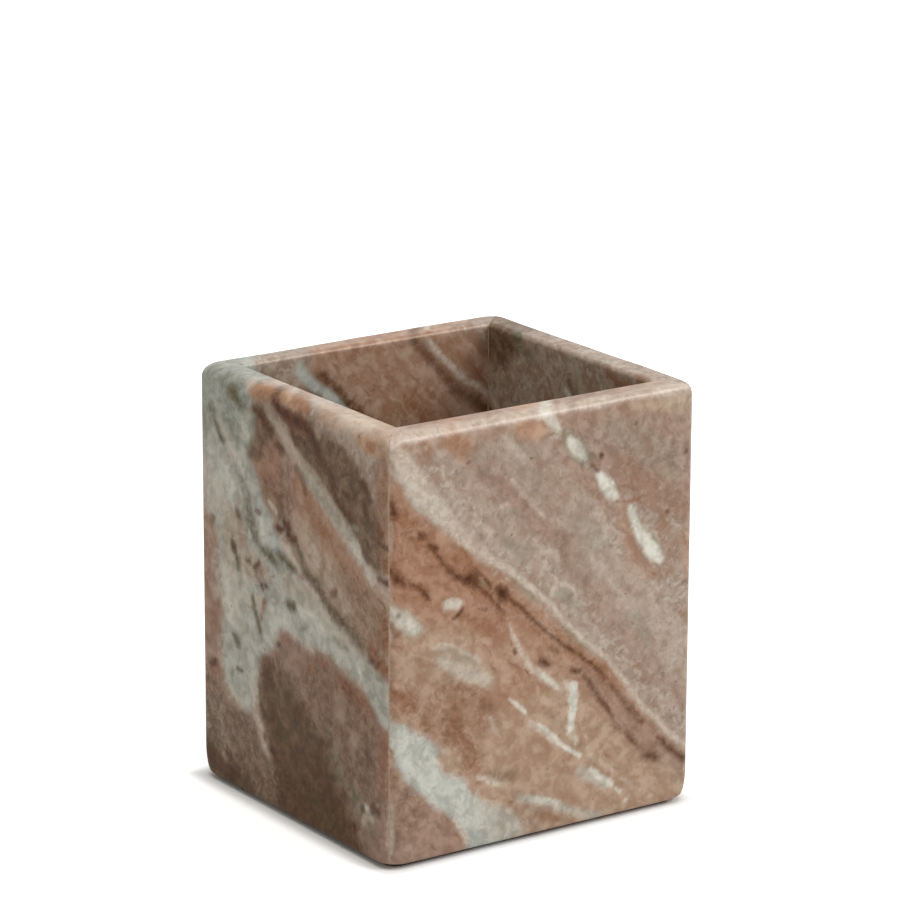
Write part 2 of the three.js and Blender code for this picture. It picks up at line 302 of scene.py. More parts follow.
    # orange rim, palest along its middle, partly the stone's cream and partly a painted highlight on
    # its rounded edge
    # painted highlight along the front-left arris, seen from the left
    # painted shade along the foot, towards the bottom-left corner
    # painted shade: the face darker along the foot
    # partly the stone's cream and partly a painted highlight where the rounded edge catches the light
    "left": """
    # grey-white vein from the rim to the front arris
    pale 1.6 0.5  30,95,0.3 34,92.2,0.8 37,90.2,1 40,88.3,1.1 44,85.7,1.4
    pale 1.6 0.42  42,86.7,1.2 46,84.5,1.9 50,82,2.3 54,79.3,2.2 58,77,2.1 62,74.5,1.9 66,71.5,1.8
        69,69,1.3 72,67.5,1.4 75,65,1.5 82,61.8,1.2
    green 1.6 0.7  45,84,0.8 50,81,1.3 54,79.5,1.4 60,76,1
    white 1.6 0.5  47,83,1.2 52,80.5,1 57,77.5,1.3 61,74.8,0.9 65.5,72,1.2
    green 1.4 0.7  46.5,82.6,0.7 48.5,82.4,0.8
    bright 1.4 0.5  66,72,0.8 73.5,66,0.7
    # second vein, thin at first, into the white arch
    pale 1 0.85  35.5,65.7,0.8 38,64,1.1 41,61.8,0.9 44,60.2,0.6
    pale 1.2 0.7  46,58.5,0.6 49,57.3,0.9 53,55.3,0.7 56,53.8,0.9 58.5,52,0.6
    pale 0.9 0.7  31,73.3,0.7 33.5,72.2,0.6
    pale 1.4 0.5  46,68,0.8 49,66.5,1.3 51,64.5,0.9
    pale 1.3 0.5  46.5,64.3,0.5 49,62.5,0.9
    pale 1.2 0.45  54,62,0.5 57,60.3,0.6
    pale 1.5 0.4  60.5,60,0.5 63,57,0.9
    # pinkish fringe of the dark teardrop
    pale 1.6 0.6  23.5,31,0.6 23.5,27,1 24,22,1.1 26,18.3,1.1 27.8,14.8,1 29.5,12.5,0.9
    pale 1.3 0.95  25,20,0.6 26.6,16.5,0.9 28.2,13.6,1.1 29.3,12.2,0.6
    # dark patches under and on the rim
    dark 1.4 1  32.5,98.6,0.7 34,97,1.3 36.5,95.8,1.6 40,95.4,1.6 44,95.4,1.8 47,94.7,1.5
        49.5,93,0.8
    rust 2 1  34,97.5,1.2 39,95.8,1.8 45,95.5,1.6
    dark 1.3 0.9  49.5,92.5,0.7 51,90.3,1.3 52.5,88,0.8 54,86.7,0.6
    dark 1.3 0.85  24.5,94,0.9 27,93.5,1 29.5,91.8,1.2 32,90,0.7
    dark 1.2 0.7  34,88,0.5 36.5,87.2,0.8
    dark 1.2 0.8  54,87,0.5 57,85.5,0.8 59,83.5,0.8
    dark 1.3 0.7  57,84,0.8 58,82,0.9 60,80,0.6
    brown 2.2 0.8  19,83.3,0.6 23,83,1.4 25.5,83,1.2
    dark 1 0.8  41,92.5,0.8 41.8,90.4,0.8
    dark 1 0.6  43,92.2,0.6 45.5,91.2,0.6
    dark 1.2 0.85  60,79.7,0.6 62,78.6,1.1 65,77.3,0.7
    dark 1 0.7  62,83,0.7 64,82.8,0.6
    dark 1.2 0.75  69.5,88,0.5 71,86.5,1 72.3,84.5,0.6
    dark 1.3 0.65  70,82.5,0.7 70.8,80.5,0.9
    dark 1.2 0.5  66.5,82.5,0.8
    rust 1.2 0.9  75.5,79.5,1 76.5,77.3,1.2
    dark 1 0.6  75.5,78.3,0.7 76.5,76.5,0.7
    dark 0.8 0.7  76,75,0.4 80,74.5,0.6
    dark 1 0.7  75.5,66.8,0.7 79,66.8,0.8
    green 0.9 0.7  65,75.8,0.6 67.5,76,0.5
    dark 1 0.6  70,71,0.7 71.5,70,0.7
    dark 1.3 0.5  42,84.3,0.6 45,82.5,0.7 46,79.5,0.6
    # chain of dark patches above the second vein
    rust 1 0.8  32.5,68.5,0.5 34.5,68.6,0.9
    dark 1 1  34.5,68.8,0.8 36.5,69,0.7
    dark 1.2 1  36.8,70.8,0.9 38.5,69.7,1.2 38.7,67.5,1.2 41,66.8,1
    olive 1.6 0.8  42.5,65.3,0.9 44.3,63,0.9
    olive 2 0.6  45,61.5,0.9 48.5,60,1.1 51,59,1.3 52.5,57.7,1.2
    olive 2 0.6  53,57,0.9 55.5,55.7,1 57.5,54.2,0.9 60,53.3,1.1 63,53,0.8
    dark 1.6 0.35  46,61,0.4 51,58.6,0.6 56,55,0.6 61,52.8,0.5
    olive 2 0.6  63.5,52.3,0.8 66,50.8,1.1 69,49.5,0.8
    dark 1 0.6  56.8,58.8,0.8 58.3,59.6,0.6
    brown 1.2 0.7  46,63,0.6 48,64.8,0.7
    brown 1.5 0.7  52.5,63.5,0.8 52.8,60.5,0.8
    brown 1.4 0.7  42.2,58.6,0.9 42.5,56.5,0.8
    brown 1.2 0.6  45.5,55.8,0.7 48,55.6,0.6
    # green-grey line from the rim's corner down to the second vein
    green 2.6 0.6  17.5,78,0.5 19.5,75,1 21,73,1.4 22,71,1.4 22.4,67.5,1.5 24.3,65.3,1.2
    olive 1.6 0.45  21.5,72,0.5 22,69.5,0.4 23,67.3,0.7 24.6,65,0.9
    green 1.8 0.95  24.5,64.5,1 27.5,62.5,1.4 31,61.5,1.4 33.5,60.4,1.8 36,59.2,1
    green 2.4 0.4  20.5,81,0.9 20.8,77,1.1 20.5,74,0.8
    olive 1.2 0.8  28,62,0.4 31,61,0.8 33,60.2,0.5
    olive 1.3 0.9  34,63.3,0.6 37,61.5,1 40,60.2,0.9 41.5,60,0.4
    bright 1.6 0.65  28,68,1.3 29.5,66.3,1.6 28,64.3,1
    bright 1.2 0.4  25.8,67.5,0.5
    dark 0.8 0.5  25.3,69.8,0.5 26.3,69.7,0.5
    # spots in the grey-white stone
    green 3.2 1  12.5,97,1.8 15.5,96,2.8 18,94.3,1.8 19.5,93,0.8
    olive 2.4 0.8  14.5,97,1.2 16.3,95.7,1.7 18.6,93.6,0.8
    green 2 0.8  12,88.5,0.9 15,88.2,1.7 17,86,1.4 17.3,84,0.9
    olive 1.4 0.8  5.6,90.3,0.7 7,90,0.6
    green 1.6 0.8  7.5,88,0.5 9.5,85.6,1.2 11,84,1.1
    olive 1.2 0.85  8.3,87.2,0.4 9.8,85.2,0.7 11.2,83.8,0.7
    pale 1.2 0.6  9.3,88.8,0.5 11,86.5,0.7 13.5,83.6,0.9 17,80,0.8
    bright 1.2 0.5  17.5,79.5,0.9 18.5,78,0.7
    bright 2 0.5  21,91,1.2 20.5,87.5,1.4
    blush 1.5 0.6  21,92,0.8
    olive 1.6 0.3  12,82.5,0.4 17.5,77.5,0.5 19.5,75,0.6 21.5,72,0.7
    bright 3 0.55  11,77,1.5 13.5,73.5,2.5
    dark 1.4 0.75  16.8,68.4,0.6 17.6,67.4,0.8
    rust 2.4 0.3  17.5,70.5,0.8 19.3,66,0.8 19.6,62,0.9
    olive 1.5 1  14.8,60.6,0.8 15,59,1.3 16.5,57,0.9 17.2,55,0.9
    dark 1.2 0.7  14.8,60.2,0.6 15,59,0.9
    dark 1.1 0.8  20.8,57.6,0.6 22.2,58,0.7
    dark 1.2 0.85  26,58,0.5 24.8,56.5,0.9
    blush 3 0.9  11.5,55.5,1.5 16,53,2.5 21,53.5,2
    olive 4 0.16  12,57,1.5 17,55,2.5 24,54,2
    rust 1.2 0.6  29.3,48.8,0.5 27.8,46.5,0.5 26.6,44.4,0.4
    rust 2.4 0.25  23,55,0.8 28,54,1.2 33,51.5,0.8
    green 1.3 0.8  17.4,54,0.8 17.8,51.3,0.9
    dark 1.6 0.7  27.3,52.6,0.8 29.3,52.8,0.8
    brown 1.2 0.8  31,52,0.9 33.5,51.5,0.8
    green 1.4 0.6  41,51.5,1 39,51,0.9
    green 1.2 0.7  43.5,46.7,0.6 45.5,46.9,0.7
    olive 1.4 0.8  38.5,51,0.8 41,51.2,1.1
    green 1.2 0.7  57.5,48.4,0.7 60,48,0.7 63,47,0.8
    bright 1.8 0.6  43.5,51,1 47,50,1.2 52,50,1.2
    pale 3 0.7  13,51,1.5 13.5,46,2.4 13,42,1.6
    bright 3 0.6  13,49.5,2 13.5,45,2.2 13,42,1.4
    bright 2.5 0.5  10.5,52.5,1 22,52,1.6
    bright 1.8 0.5  30,42,1.2 33,47,1.8 38,48,1.5
    bright 1.4 0.7  68,43,1 69.5,41.5,0.8
    green 1.3 0.8  72.5,45.5,0.7 74.5,43.5,1 77,43.5,0.7
    green 3 0.45  70,43,1 74,40.5,1.8 78,38,1.5
    dark 4 0.3  8,3,1.5 18,3,2 28,2,1.5
    rust 1.8 0.55  33,103,0.8 34,100.5,1.2 36,98.5,1
    rust 1.8 0.5  41,103,0.6 43.5,100.5,1.2 46,98,1
    olive 1.6 0.3  32,102,0.6 33.5,99,0.9
    blush 1.3 0.8  25.8,49.5,0.8 26.7,47.3,1.1
    pale 1.3 0.6  26.5,48.3,0.7 26.8,46.5,0.6
    olive 1.2 0.8  23.4,49,0.4 24.3,46.8,0.6 25.6,43.6,0.5
    olive 1.1 0.85  25.8,43.4,0.6 26.3,42.2,0.7
    green 1.4 0.8  24.5,45,0.8 25.8,42.5,1 27,40,0.6
    brown 1.2 0.7  27.8,46,0.7 29.5,48.3,0.8
    blush 1.3 0.7  17.8,41,0.8
    olive 1.5 0.75  14.8,37.6,0.7 16.2,36.6,0.8
    green 2.5 0.35  15.5,35.5,2.5
    olive 1.1 0.9  16.6,29.6,0.7 17.8,29.9,0.5
    green 1.4 0.8  15.8,37,0.8 20.5,41,0.5
    green 1.3 0.8  14,28.3,0.6 14,26.3,0.7
    green 2.5 0.3  18,27,2
    brown 1.3 0.7  22,18,0.8
    dark 1.2 0.6  4.5,27.3,0.7 6.5,28.6,0.7
    dark 1.2 0.5  5.5,64,1
    rust 2 0.5  7,37,1.4 7.5,42,1.4
    rust 1.8 0.5  6.8,27,1.4
    # inside the teardrop
    dark 1 0.7  34.3,40.5,0.7
    rust 1.8 0.6  36,42.3,0.9 38.5,42.8,0.9
    rust 1.6 0.6  47.8,38.8,1.1
    rust 1.6 0.5  51,42.3,1 55,42,0.9
    rust 2.2 0.65  60,39.5,1.2 64,38.3,1.6 68,37,1.5 72,34.5,0.9
    dark 1.8 0.35  62,38.8,0.7 64,36.5,0.7
    dark 2.2 0.45  30,34,1.5 29,29,1.2
    dark 2.2 0.5  30,22,0.8 33,17.8,1
    dark 1.3 1  28.3,16,0.7
    dark 1.3 1  31,14.2,1 33,12.3,1.1
    dark 2.5 0.6  43,26.5,1.5
    olive 5 0.45  36,8,1.5 45,7,2 52,4,2.5 58,3,2
    dark 3 0.5  34,10,1.2 40,7,1.5 46,5,1.8
    rust 2.5 0.3  39,6,1 44,3.5,1.4 50,4,1.2
    dark 1.2 0.8  65.7,5.7,1.1
    dark 1.4 0.5  61.3,12,0.8
    dark 1.4 0.4  52,20.5,1.2 56.5,24.5,0.8
    blush 2.2 0.45  59.5,34,1 60,31,1.2
    blush 2 0.4  66,27,1.2
    green 2.5 0.35  57,24,1.2 58,19,1.5 60,16,0.8
    green 2.5 0.5  65.5,14,1.2 69,11,2.2 72,8.5,1.6
    bright 0.9 0.7  71.2,12.2,0.9
    pale 1.1 0.6  69,8.3,0.6 70.5,10.5,0.5 73,9.8,0.6
    dark 1.2 0.6  73.5,13.2,0.8 75.5,12.6,0.7
    dark 1.2 0.5  69.3,11.7,0.7
    # orange stone near the arris
    rust 2.2 0.9  74,50,1.6 77,47,1.8 81,46,1.4
    rust 2.2 0.7  77,57.5,1.5 78.5,53,1.8
    dark 1.3 0.6  72.5,47.5,0.8 75.3,46.8,0.9
    rust 2 0.6  78,71,1.6
    rust 2 0.55  50,74.5,1.3 52.7,72.3,1.2 57,71.5,0.8
    rust 2 0.4  46,79,0.8 49,77.5,1
    rust 2.5 0.5  77,30,1.5 78,24,1.6 78,18,1.2
    dark 1.3 0.4  71,24.5,0.7 73,22.5,0.7
    # foot
    blush 1.2 0.7  9.8,7,0.8 10.8,6,0.8
    dark 1.4 0.9  11.5,8.2,0.7 13.3,7.2,0.9
    dark 2.5 0.55  3,5,1.5 9,3.5,1.5 16,4,1.2
    mauve 1.6 0.6  6,13,0.7 6,8,0.7
    pale 0.7 0.4  79.1,96,0.4 79.1,3,0.4
    # orange rim, palest along its middle
    amber 1.6 0.7  25,98.5,1.8 30,99.5,2 38,100.2,1.6 45,99.3,1.4
    dark 1.6 0.55  32,102,0.3 32.8,100.3,0.8 34,98,1
    pale 2 0.7  28,103.5,1.2 40,103.5,1.4 50,102.5,1.5
    rust 1.8 0.5  38,104.5,0.6 40,102,1 42,99.5,0.8
    amber 1.8 0.8  68,97.5,1.4 72,97.5,2.4 76,96.5,1.4
    amber 3 0.45  54,100,2 62,101,3 70,101,3 82,99,2.5
    pale 1.6 0.7  21.5,100.5,1.2 23.5,98.5,1
    pale 3 0.9  50,102,1 58,100.5,2.4 66,100,2.8 72,101.5,2 82,101,2.6
    bright 2.5 0.7  55,102,1 60,101,1.6 66,100.3,1.8 70,101.5,1
    amber 1.6 1  70.5,97,0.8 72.5,97.3,1.4 75,97,1
    rust 1.6 0.4  71.5,97,0.6 73.5,97,0.6
    rust 1.5 0.6  26.5,98,0.9 31.5,98.5,1
    blush 1.2 0.6  51,94.5,0.9
    """,
    # painted shade: dark band that darkens the inner face lower in the well, below the rust under the
    # rim
    "right": """
    rust 2.2 0.7  7,91,1.2 13,90.5,2.4 20,91.5,2 27,93.5,1.2
    dark 4 0.45  5,82,2 14,81.5,3 25,82,2.5
    pale 0.6 1  -3,9,0.6 4,15.5,0.7 12,22,0.6 21,31,0.8 30,38,0.7 38,46,0.9 47,53,0.7 56,63,0.9
        66,70,0.7 74,79,0.9 84,87,0.8
    dark 0.8 0.9  -3,6.5,0.4 5,13,0.5 14,20,0.4 22,28,0.7 31,35,0.4 40,44,0.6 50,53,0.4 60,63,0.5
        72,73,0.4 84,83,0.4
    dark 0.8 0.7  8,9,0.4 17,17,0.7 26,27,0.4 36,34,0.4
    bright 0.6 1  12,55,0.8 15,58.5,1.4 19,61.5,0.8
    bright 0.6 1  24,66.5,0.7 28,69.5,1.2 31,73.5,0.8
    bright 0.6 0.9  37,79.5,0.7 40,83,1.1 43.5,85.5,0.7
    brown 1.6 0.6  2,47,0.5 10,55,1 20,66,1.2 32,76,0.7 42,88,0.5
    pale 0.9 0.6  4,72,0.4 12,80,0.7 20,90,0.5 26,96,0.5
    rust 1.5 0.6  10,90,1.4 15,95,1.2
    rust 1.5 0.6  52,40,1 58,46,1.4 62,51,0.6
    pale 0.6 0.9  34,14,0.4 40,20,0.6 47,24,0.4 52,30,0.5
    bright 0.6 0.9  62,25,0.6 63.5,31,1 64,35,0.6
    white 1 0.8  18,-2,1 24,4,1.4 31,8,1.2 36,13,0.7
    dark 0.6 0.8  30,52,0.6
    dark 0.6 0.8  48,70,0.5
    dark 0.6 0.8  70,56,0.7
    dark 0.6 0.8  57,12,0.6
    green 1.2 0.6  58,90,0.8 64,95,1.2
    """,
    "back": """
    pale 0.6 1  -3,79,0.8 6,88,0.7 14,94,0.8 22,102,0.7
    dark 1.8 0.6  -3,76,0.9 8,85,1.1 17,93,0.9 26,103,0.9
    white 0.9 0.9  -3,40,0.8 6,48,1.4 15,58,1 25,66,1.5 36,79,1.1 46,88,1.6 58,101,1.2
    dark 1.6 0.7  -3,45,0.6 7,54,0.8 18,64,0.5 30,77,1 42,88,0.5 52,99,0.6
    dark 1.4 0.6  10,22,0.5 20,33,0.7 29,41,0.5 38,52,0.7
    pale 0.6 0.9  4,8,0.4 12,18,0.6 21,25,0.5 30,36,0.6 40,45,0.4
    rust 1.8 0.6  14,74,1.2 22,82,1.6 28,90,0.8
    rust 1.8 0.5  2,58,1 9,66,1.2
    green 1.6 0.7  58,60,1 65,68,1.5 70,76,0.8
    green 1.2 0.8  74,92,0.8 79,96,1.2
    brown 1.6 0.6  60,30,0.6 68,40,1.2 74,45,0.6
    dark 0.7 0.8  66,52,0.7
    dark 0.7 0.8  48,33,0.6
    dark 0.7 0.8  73,66,0.6 74.5,67,0.5
    bright 0.8 0.7  50,50,0.6 55,56,1 60,63,0.5
    """,
    "base": """
    pale 0.8 1  -3,70,0.7 14,55,0.9 30,44,0.7 48,24,0.9 75,4,0.8
    rust 2.5 0.45  -3,61,1 12,49,1.6 26,38,1.2 40,21,1.6 60,-2,1
    dark 1.2 0.65  -3,60,0.5 12,48,0.7 19,44,0.3 26,38,0.5 40,20,0.7 60,-3,0.4
    dark 1 0.5  14,45,0.3 24,34,0.5 31,25,0.3
    pale 0.7 0.8  22,24,0.3 30,14,0.6 36,8,0.4
    green 2 0.5  30,62,1 42,48,1.6 52,30,1
    mauve 3 0.6  40,64,1.5 54,48,2.5 68,30,1.5
    dark 0.8 0.8  44,54,0.6
    bright 0.8 0.9  48,50,0.8 54,42,1.4 58,36,0.8
    """,
}

AREAS = {
    "front": """
    orange 2 1  -6,94 3,90 8,82.5 15,77 20,72 26,66.5 33,62 40,56 48,48 56,42 62,36 68,28 74,20
        80,14 92,4 92,-8 -6,-8
    salmon 4 0.8  -6,92 5,86 14,77 24,68 31,60 28,53 15,53 5,57 -6,57
    salmon 4 0.4  26,38 36,34 46,22 56,12 50,4 34,14 24,26
    salmon 3 0.5  22,60 30,58 36,52 44,45 38,46 32,50 22,53
    blush 8 0.45  28,26 44,34 58,24 70,12 92,2 92,-8 38,-8 28,8
    blush 5 0.35  6,54 16,54 22,50 16,42 4,44
    brown 5 0.25  0,84 8,80 8,75 -4,77
    rust 3 0.25  44,48 52,41 60,33 67,24 76,13 70,13 62,23 55,32 46,42
    mauve 2.4 0.8  50,41 58,34.5 64,26 70,19 77,12.5 92,5 92,-4 80,5 72,12 64,21 58,29 54,34
    mauve 3 0.75  34,12 40,11 44,2 46,-8 38,-8 37,3
    mauve 3 0.75  -6,24 4,20 10,15 16,9 20,3 22,-8 -6,-8
    brown 4 0.3  -6,24 2,21 7,14 4,8 -6,8
    white 1.4 1  -4,35.5 1,35 5,32.7 8.5,29.8 12.5,28 14.3,25.5 13.6,22 16,19.5 19.5,18.6 22,14.5
        25,11 31.5,8 36,4.5 38,-4 22,-4 21.3,2 19.8,5.5 15.5,10 10,15 5.2,19.5 2.2,24.5 1.2,30 -4,32
    mauve 6 0.6  46,104 90,104 90,66 76,72 60,80 52,92
    mauve 5 0.45  18,97 40,97 60,76 52,66 38,74 26,82
    brown 5 0.3  0,48 12,44 22,36 30,30 20,28 10,34 0,38
    """,
    "left": """
    salmon 2 0.8  24.5,98 25,91 24,85 22,83 25,80.5 27.5,77 29,71.5 38,72 36,80 36,88 30,95
    mauve 3.5 0.75  24.5,96 25,89 23,84 26,79 29,73 38,72 44,78 42,85 33,92
    brown 3 0.7  24,97 25,88 22,84 26,81 30,86 35,90 33,96
    brown 3 0.5  28,78 30,72 38,71 40,76 34,79
    brown 4 0.3  26,94 26,76 30,70 36,70 37,78 34,88
    rust 2 0.3  74,55 83,55 83,44 74,45
    mauve 2.2 0.9  36,98 46,86.5 60,78 76,67 76,80 67,92 50,96
    rust 2.5 0.4  73.5,93 82,93 82,70 75.5,70 75,80
    brown 2.2 0.76  36,98 40,91 46,86.5 54,82 60,78 66,74 72,69 76,67 77,74 76,80 72,86 67,90.5
        62,93.5 50,95.5
    mauve 3 0.55  64,94 72,88 75,78 76,70 70,72 64,80 60,90
    orange 3 0.8  38,87 44,84 52,80 60,75 66,71 74,65.5 86,63 86,44 72,47 62,54 54,58 46,62 40,68
        36,74
    salmon 3 0.6  42,84 52,78 62,73 68,69 70,64 62,64 54,70 46,73 40,78
    brown 4 0.4  58,66 74,60 84,58 84,44 70,47 60,54
    blush 2.5 0.45  42,71 48,71 53,68 60,63 66,57 62,55 54,60 46,62 42,66
    mauve 2.5 0.5  74,94 84,94 84,78 76,80
    orange 2 1  74,94 86,96 86,66 77,66 77,78 75,86
    mauve 1.6 1  25,36 30,37.5 33,41 36,44 40,44 46,43 50,44 56,44 61,42.5 66,40.5 71,38 75,33.5
        86,31 86,-8 34,-8 33,7 30,12 27,18 24.3,22 23.8,26 25,31
    brown 5 1  24,36 33,36 40,33 46,30 52,26 60,20 66,10 70,-8 36,-8 33,8 29,14 25,22 23.5,28
    brown 5 0.9  34,22 48,18 60,12 72,0 72,-8 30,-8
    salmon 5 0.45  44,43 60,42 70,38 70,28 58,27 46,34
    brown 6 0.5  44,42 62,40 74,32 76,10 60,10 50,24
    orange 5 0.6  72,34 86,33 86,4 78,8 70,22
    orange 2 1  -6,66 4,66 8,62 9.5,56 9.5,46 10,34 10,26 10,20 -6,20
    mauve 2 0.5  -6,64 6,63 9,56 9.5,46 10,30 10,20 -6,20
    brown 3.5 0.5  -6,24 8,23 14,21 20,19 25,17 30,11 34,-8 -6,-8
    mauve 3.5 0.75  8,22 16,20 24,16 30,10 34,0 22,4 12,9
    brown 4 0.95  -6,10 14,9 26,3 34,-8 -6,-8
    white 1.8 1  -6,112 24,112 24,97 24.5,92 24,88 20.5,85 20.5,81.5 24,80 26.5,76 27.5,72 32,70
        35,65 42,59 52,55.5 60,51 68,46.5 75,44 80,43 86,42 86,33 79,32.5 75,35 71,39 66,41.5
        57,44.5 44,44 37,44.8 33,42 30,38 26,36 24.5,30 23,22 16,21 10.5,25 9.8,40 9.3,56 7,65 -6,68
    green 4 0.7  19,96 24.5,96 24,88 21,84 18,88
    dark 6 0.4  33,14 44,18 56,12 66,2 70,-8 30,-8
    blush 4 0.3  -6,90 8,86 22,80 24,72 30,58 60,50 80,42 80,36 68,42 52,46 34,46 26,38 22,24 11,26
        10,56 -6,68
    bright 6 0.35  6,84 18,84 20,72 12,68 6,74
    bright 5 0.3  9,58 22,56 24,48 22,38 22,22 11,26 9,42
    bright 4 0.3  28,44 44,54 60,50 80,42 80,34 70,41 52,45 36,45 28,38
    green 5 0.45  4,104 24,104 23,93 16,86 8,82 2,88
    blush 3 0.75  10,68 13,70 19,69 21,60 27,60 31,57 27,52 19,54 12,56 10,62
    brown 2.4 0.4  54,45 62,43 68,40.5 73,36.5 71,35.5 65,38.5 57,42
    pale 3 0.5  3,77 8,76 11,68 9,64 -2,66 -2,78
    blush 2.5 0.55  35,60 46,57 54,53 60,50 66,48 62,45 56,50 44,53 36,54
    blush 1.8 0.7  10,25 19,22.5 16,20 10,21
    blush 2 0.6  19,50 25,50 24,45 19,46
    """,
    "right": """
    orange 2 1  -6,6 12,21 30,38 56,62 86,88 92,-8 -6,-8
    salmon 5 0.6  30,30 50,46 70,58 80,50 60,34 40,20
    mauve 2 0.8  -6,4 12,18 30,34 44,47 44,40 28,26 10,8 -6,-4
    white 1 1  40,-8 50,2 58,12 70,22 78,30 90,42 90,18 76,8 66,-8
    brown 3 0.7  60,96 70,84 90,96 90,112 64,112
    """,
    "back": """
    orange 3 0.9  -6,88 10,104 40,112 60,104 40,84 20,62 -6,38
    brown 4 0.8  -6,44 12,58 30,76 48,96 60,96 44,76 26,56 -6,26
    white 1.4 1  92,66 84,62 76,55 66,44 52,34 40,20 28,10 14,-8 -6,-8 -6,18 6,22 18,36 30,46 42,62
        56,74 66,88 72,112 92,112
    green 6 0.5  62,70 92,84 92,112 76,112
    blush 4 0.6  20,22 36,36 52,50 60,66 46,60 28,40 12,26
    salmon 3 0.8  92,62 80,58 68,44 56,30 92,24
    brown 5 0.8  92,24 60,22 36,-8 92,-8
    """,
    "base": """
    orange 3 0.9  -6,66 20,50 46,24 76,-8 -6,-8
    mauve 4 0.7  -6,40 16,28 30,-8 -6,-8
    """,
}


def read_courses(table):
    """The courses of a table, each a layer, a softness, a most and a list of points."""
    courses = []
    for line in table.splitlines():
        words = line.split("#")[0].split()
        if words and words[0] in LAYERS:
            courses.append((words[0], float(words[1]), float(words[2]), []))
            words = words[3:]
        for word in words:
            courses[-1][3].append(tuple(float(number) for number in word.split(",")))
    return courses


def smooth_step(t):
    """From 0 to 1 as t goes, with a gentle start and end."""
    return t * t * (3 - 2 * t)


def lattice_noise(x, y, seed):
    """Smooth random field with a mean of 0 and cells one unit wide."""
    cells = 64
    grid = np.random.default_rng(seed).uniform(-1.0, 1.0, (cells, cells))
    i, j = np.floor(x).astype(int), np.floor(y).astype(int)
    s, t = smooth_step(x - i), smooth_step(y - j)

    def pick(a, b):
        return grid[a % cells, b % cells]
    low = pick(i, j) * (1 - s) + pick(i + 1, j) * s
    high = pick(i, j + 1) * (1 - s) + pick(i + 1, j + 1) * s
    return low * (1 - t) + high * t


def nearest_on_line(u, v, a, b):
    """Each place's nearest point on the line from a to b: its share of the line and its distance."""
    du, dv = b[0] - a[0], b[1] - a[1]
    t = np.clip(((u - a[0]) * du + (v - a[1]) * dv) / (du * du + dv * dv), 0, 1)
    return t, np.hypot(u - a[0] - t * du, v - a[1] - t * dv)


def ribbon_depth(u, v, points):
    """How deep each place is inside a ribbon, in millimetres, negative outside it."""
    if len(points) == 1:
        pu, pv, half = points[0]
        return half - np.hypot(u - pu, v - pv)
    best = np.full(u.shape, -np.inf)
    for a, b in zip(points, points[1:]):
        t, away = nearest_on_line(u, v, a, b)
        best = np.maximum(best, a[2] + t * (b[2] - a[2]) - away)
    return best


def area_depth(u, v, outline):
    """How deep each place is inside a closed outline, negative outside it."""
    gap = np.full(u.shape, np.inf)
    inside = np.zeros(u.shape, bool)
    for (au, av), (bu, bv) in zip(outline, outline[1:] + outline[:1]):
        gap = np.minimum(gap, nearest_on_line(u, v, (au, av), (bu, bv))[1])
        if bv != av:
            inside ^= ((av > v) != (bv > v)) & (u < au + (bu - au) * (v - av) / (bv - av))
    return np.where(inside, gap, -gap)


def rounded_course(points, closed, times):
    """The same course with its corners cut, so that it bends smoothly."""
    if len(points) < 3:
        return points
    for _ in range(times):
        after = points[1:] + points[:1] if closed else points[1:]
        cut = []
        for a, b in zip(points, after):
            cut.append(tuple(0.75 * p + 0.25 * q for p, q in zip(a, b)))
            cut.append(tuple(0.25 * p + 0.75 * q for p, q in zip(a, b)))
        points = cut if closed else [points[0]] + cut[1:-1] + [points[-1]]
    return points


def courses_of(side):
    """Each course of a side, with the way to find its depth and its reach past its points."""
    for layer, soft, most, outline in read_courses(AREAS[side]):
        yield layer, soft, most, area_depth, rounded_course(outline, True, 2), 2 * soft
    for layer, soft, most, points in read_courses(RIBBONS[side]):
        widest = max(half for _, _, half in points)
        yield layer, soft, most, ribbon_depth, rounded_course(points, False, 1), 2 * soft + widest


def vein_layers(side, u, v, seed):
    """Cover of each layer at each place: 1 is full, 0 the middle of an edge and -1 or less none."""
    def wandered(place, extra):
        for i, (wide, far) in enumerate(WANDER):
            place = place + far * lattice_noise(u / wide, v / wide, seed + extra + i)
        return place
    uu, vv = wandered(u, 0), wandered(v, len(WANDER))
    layers = {name: np.full(u.shape, -2.0) for name in LAYERS}
    for layer, soft, most, depth_of, points, reach in courses_of(side):
        near = np.ones(u.shape, bool)
        for place, along in ((uu, [p[0] for p in points]), (vv, [p[1] for p in points])):
            near &= (place > min(along) - reach) & (place < max(along) + reach)
        cover = np.clip(depth_of(uu[near], vv[near], points) / soft, -2, 2 * most - 1)
        layers[layer][near] = np.maximum(layers[layer][near], cover)
    return layers


# Meshes

def new_object(name, vertices, faces, smooth=True, sharp=None):
    """A mesh object from millimetre vertices. sharp picks edges from arrays of their two vertices."""
    mesh = bpy.data.meshes.new(name)
    mesh.from_pydata((np.asarray(vertices) * MM).tolist(), [], faces)
    mesh.update()
    mesh.polygons.foreach_set("use_smooth", [smooth] * len(mesh.polygons))
    if sharp is not None:
        ends = np.empty(len(mesh.edges) * 2, int)
        mesh.edges.foreach_get("vertices", ends)
        ends = ends.reshape(-1, 2)
        flags = mesh.attributes.new("sharp_edge", "BOOLEAN", "EDGE")
        flags.data.foreach_set("value", sharp(ends[:, 0], ends[:, 1]).astype(bool))
    obj = bpy.data.objects.new(name, mesh)
    bpy.context.scene.collection.objects.link(obj)
    return obj


def add_layers(obj, layers):
    """Stores each layer's cover on the vertices."""
    for name, values in layers.items():
        attribute = obj.data.attributes.new(name, "FLOAT", "POINT")
        attribute.data.foreach_set("value", values.astype(np.float32))


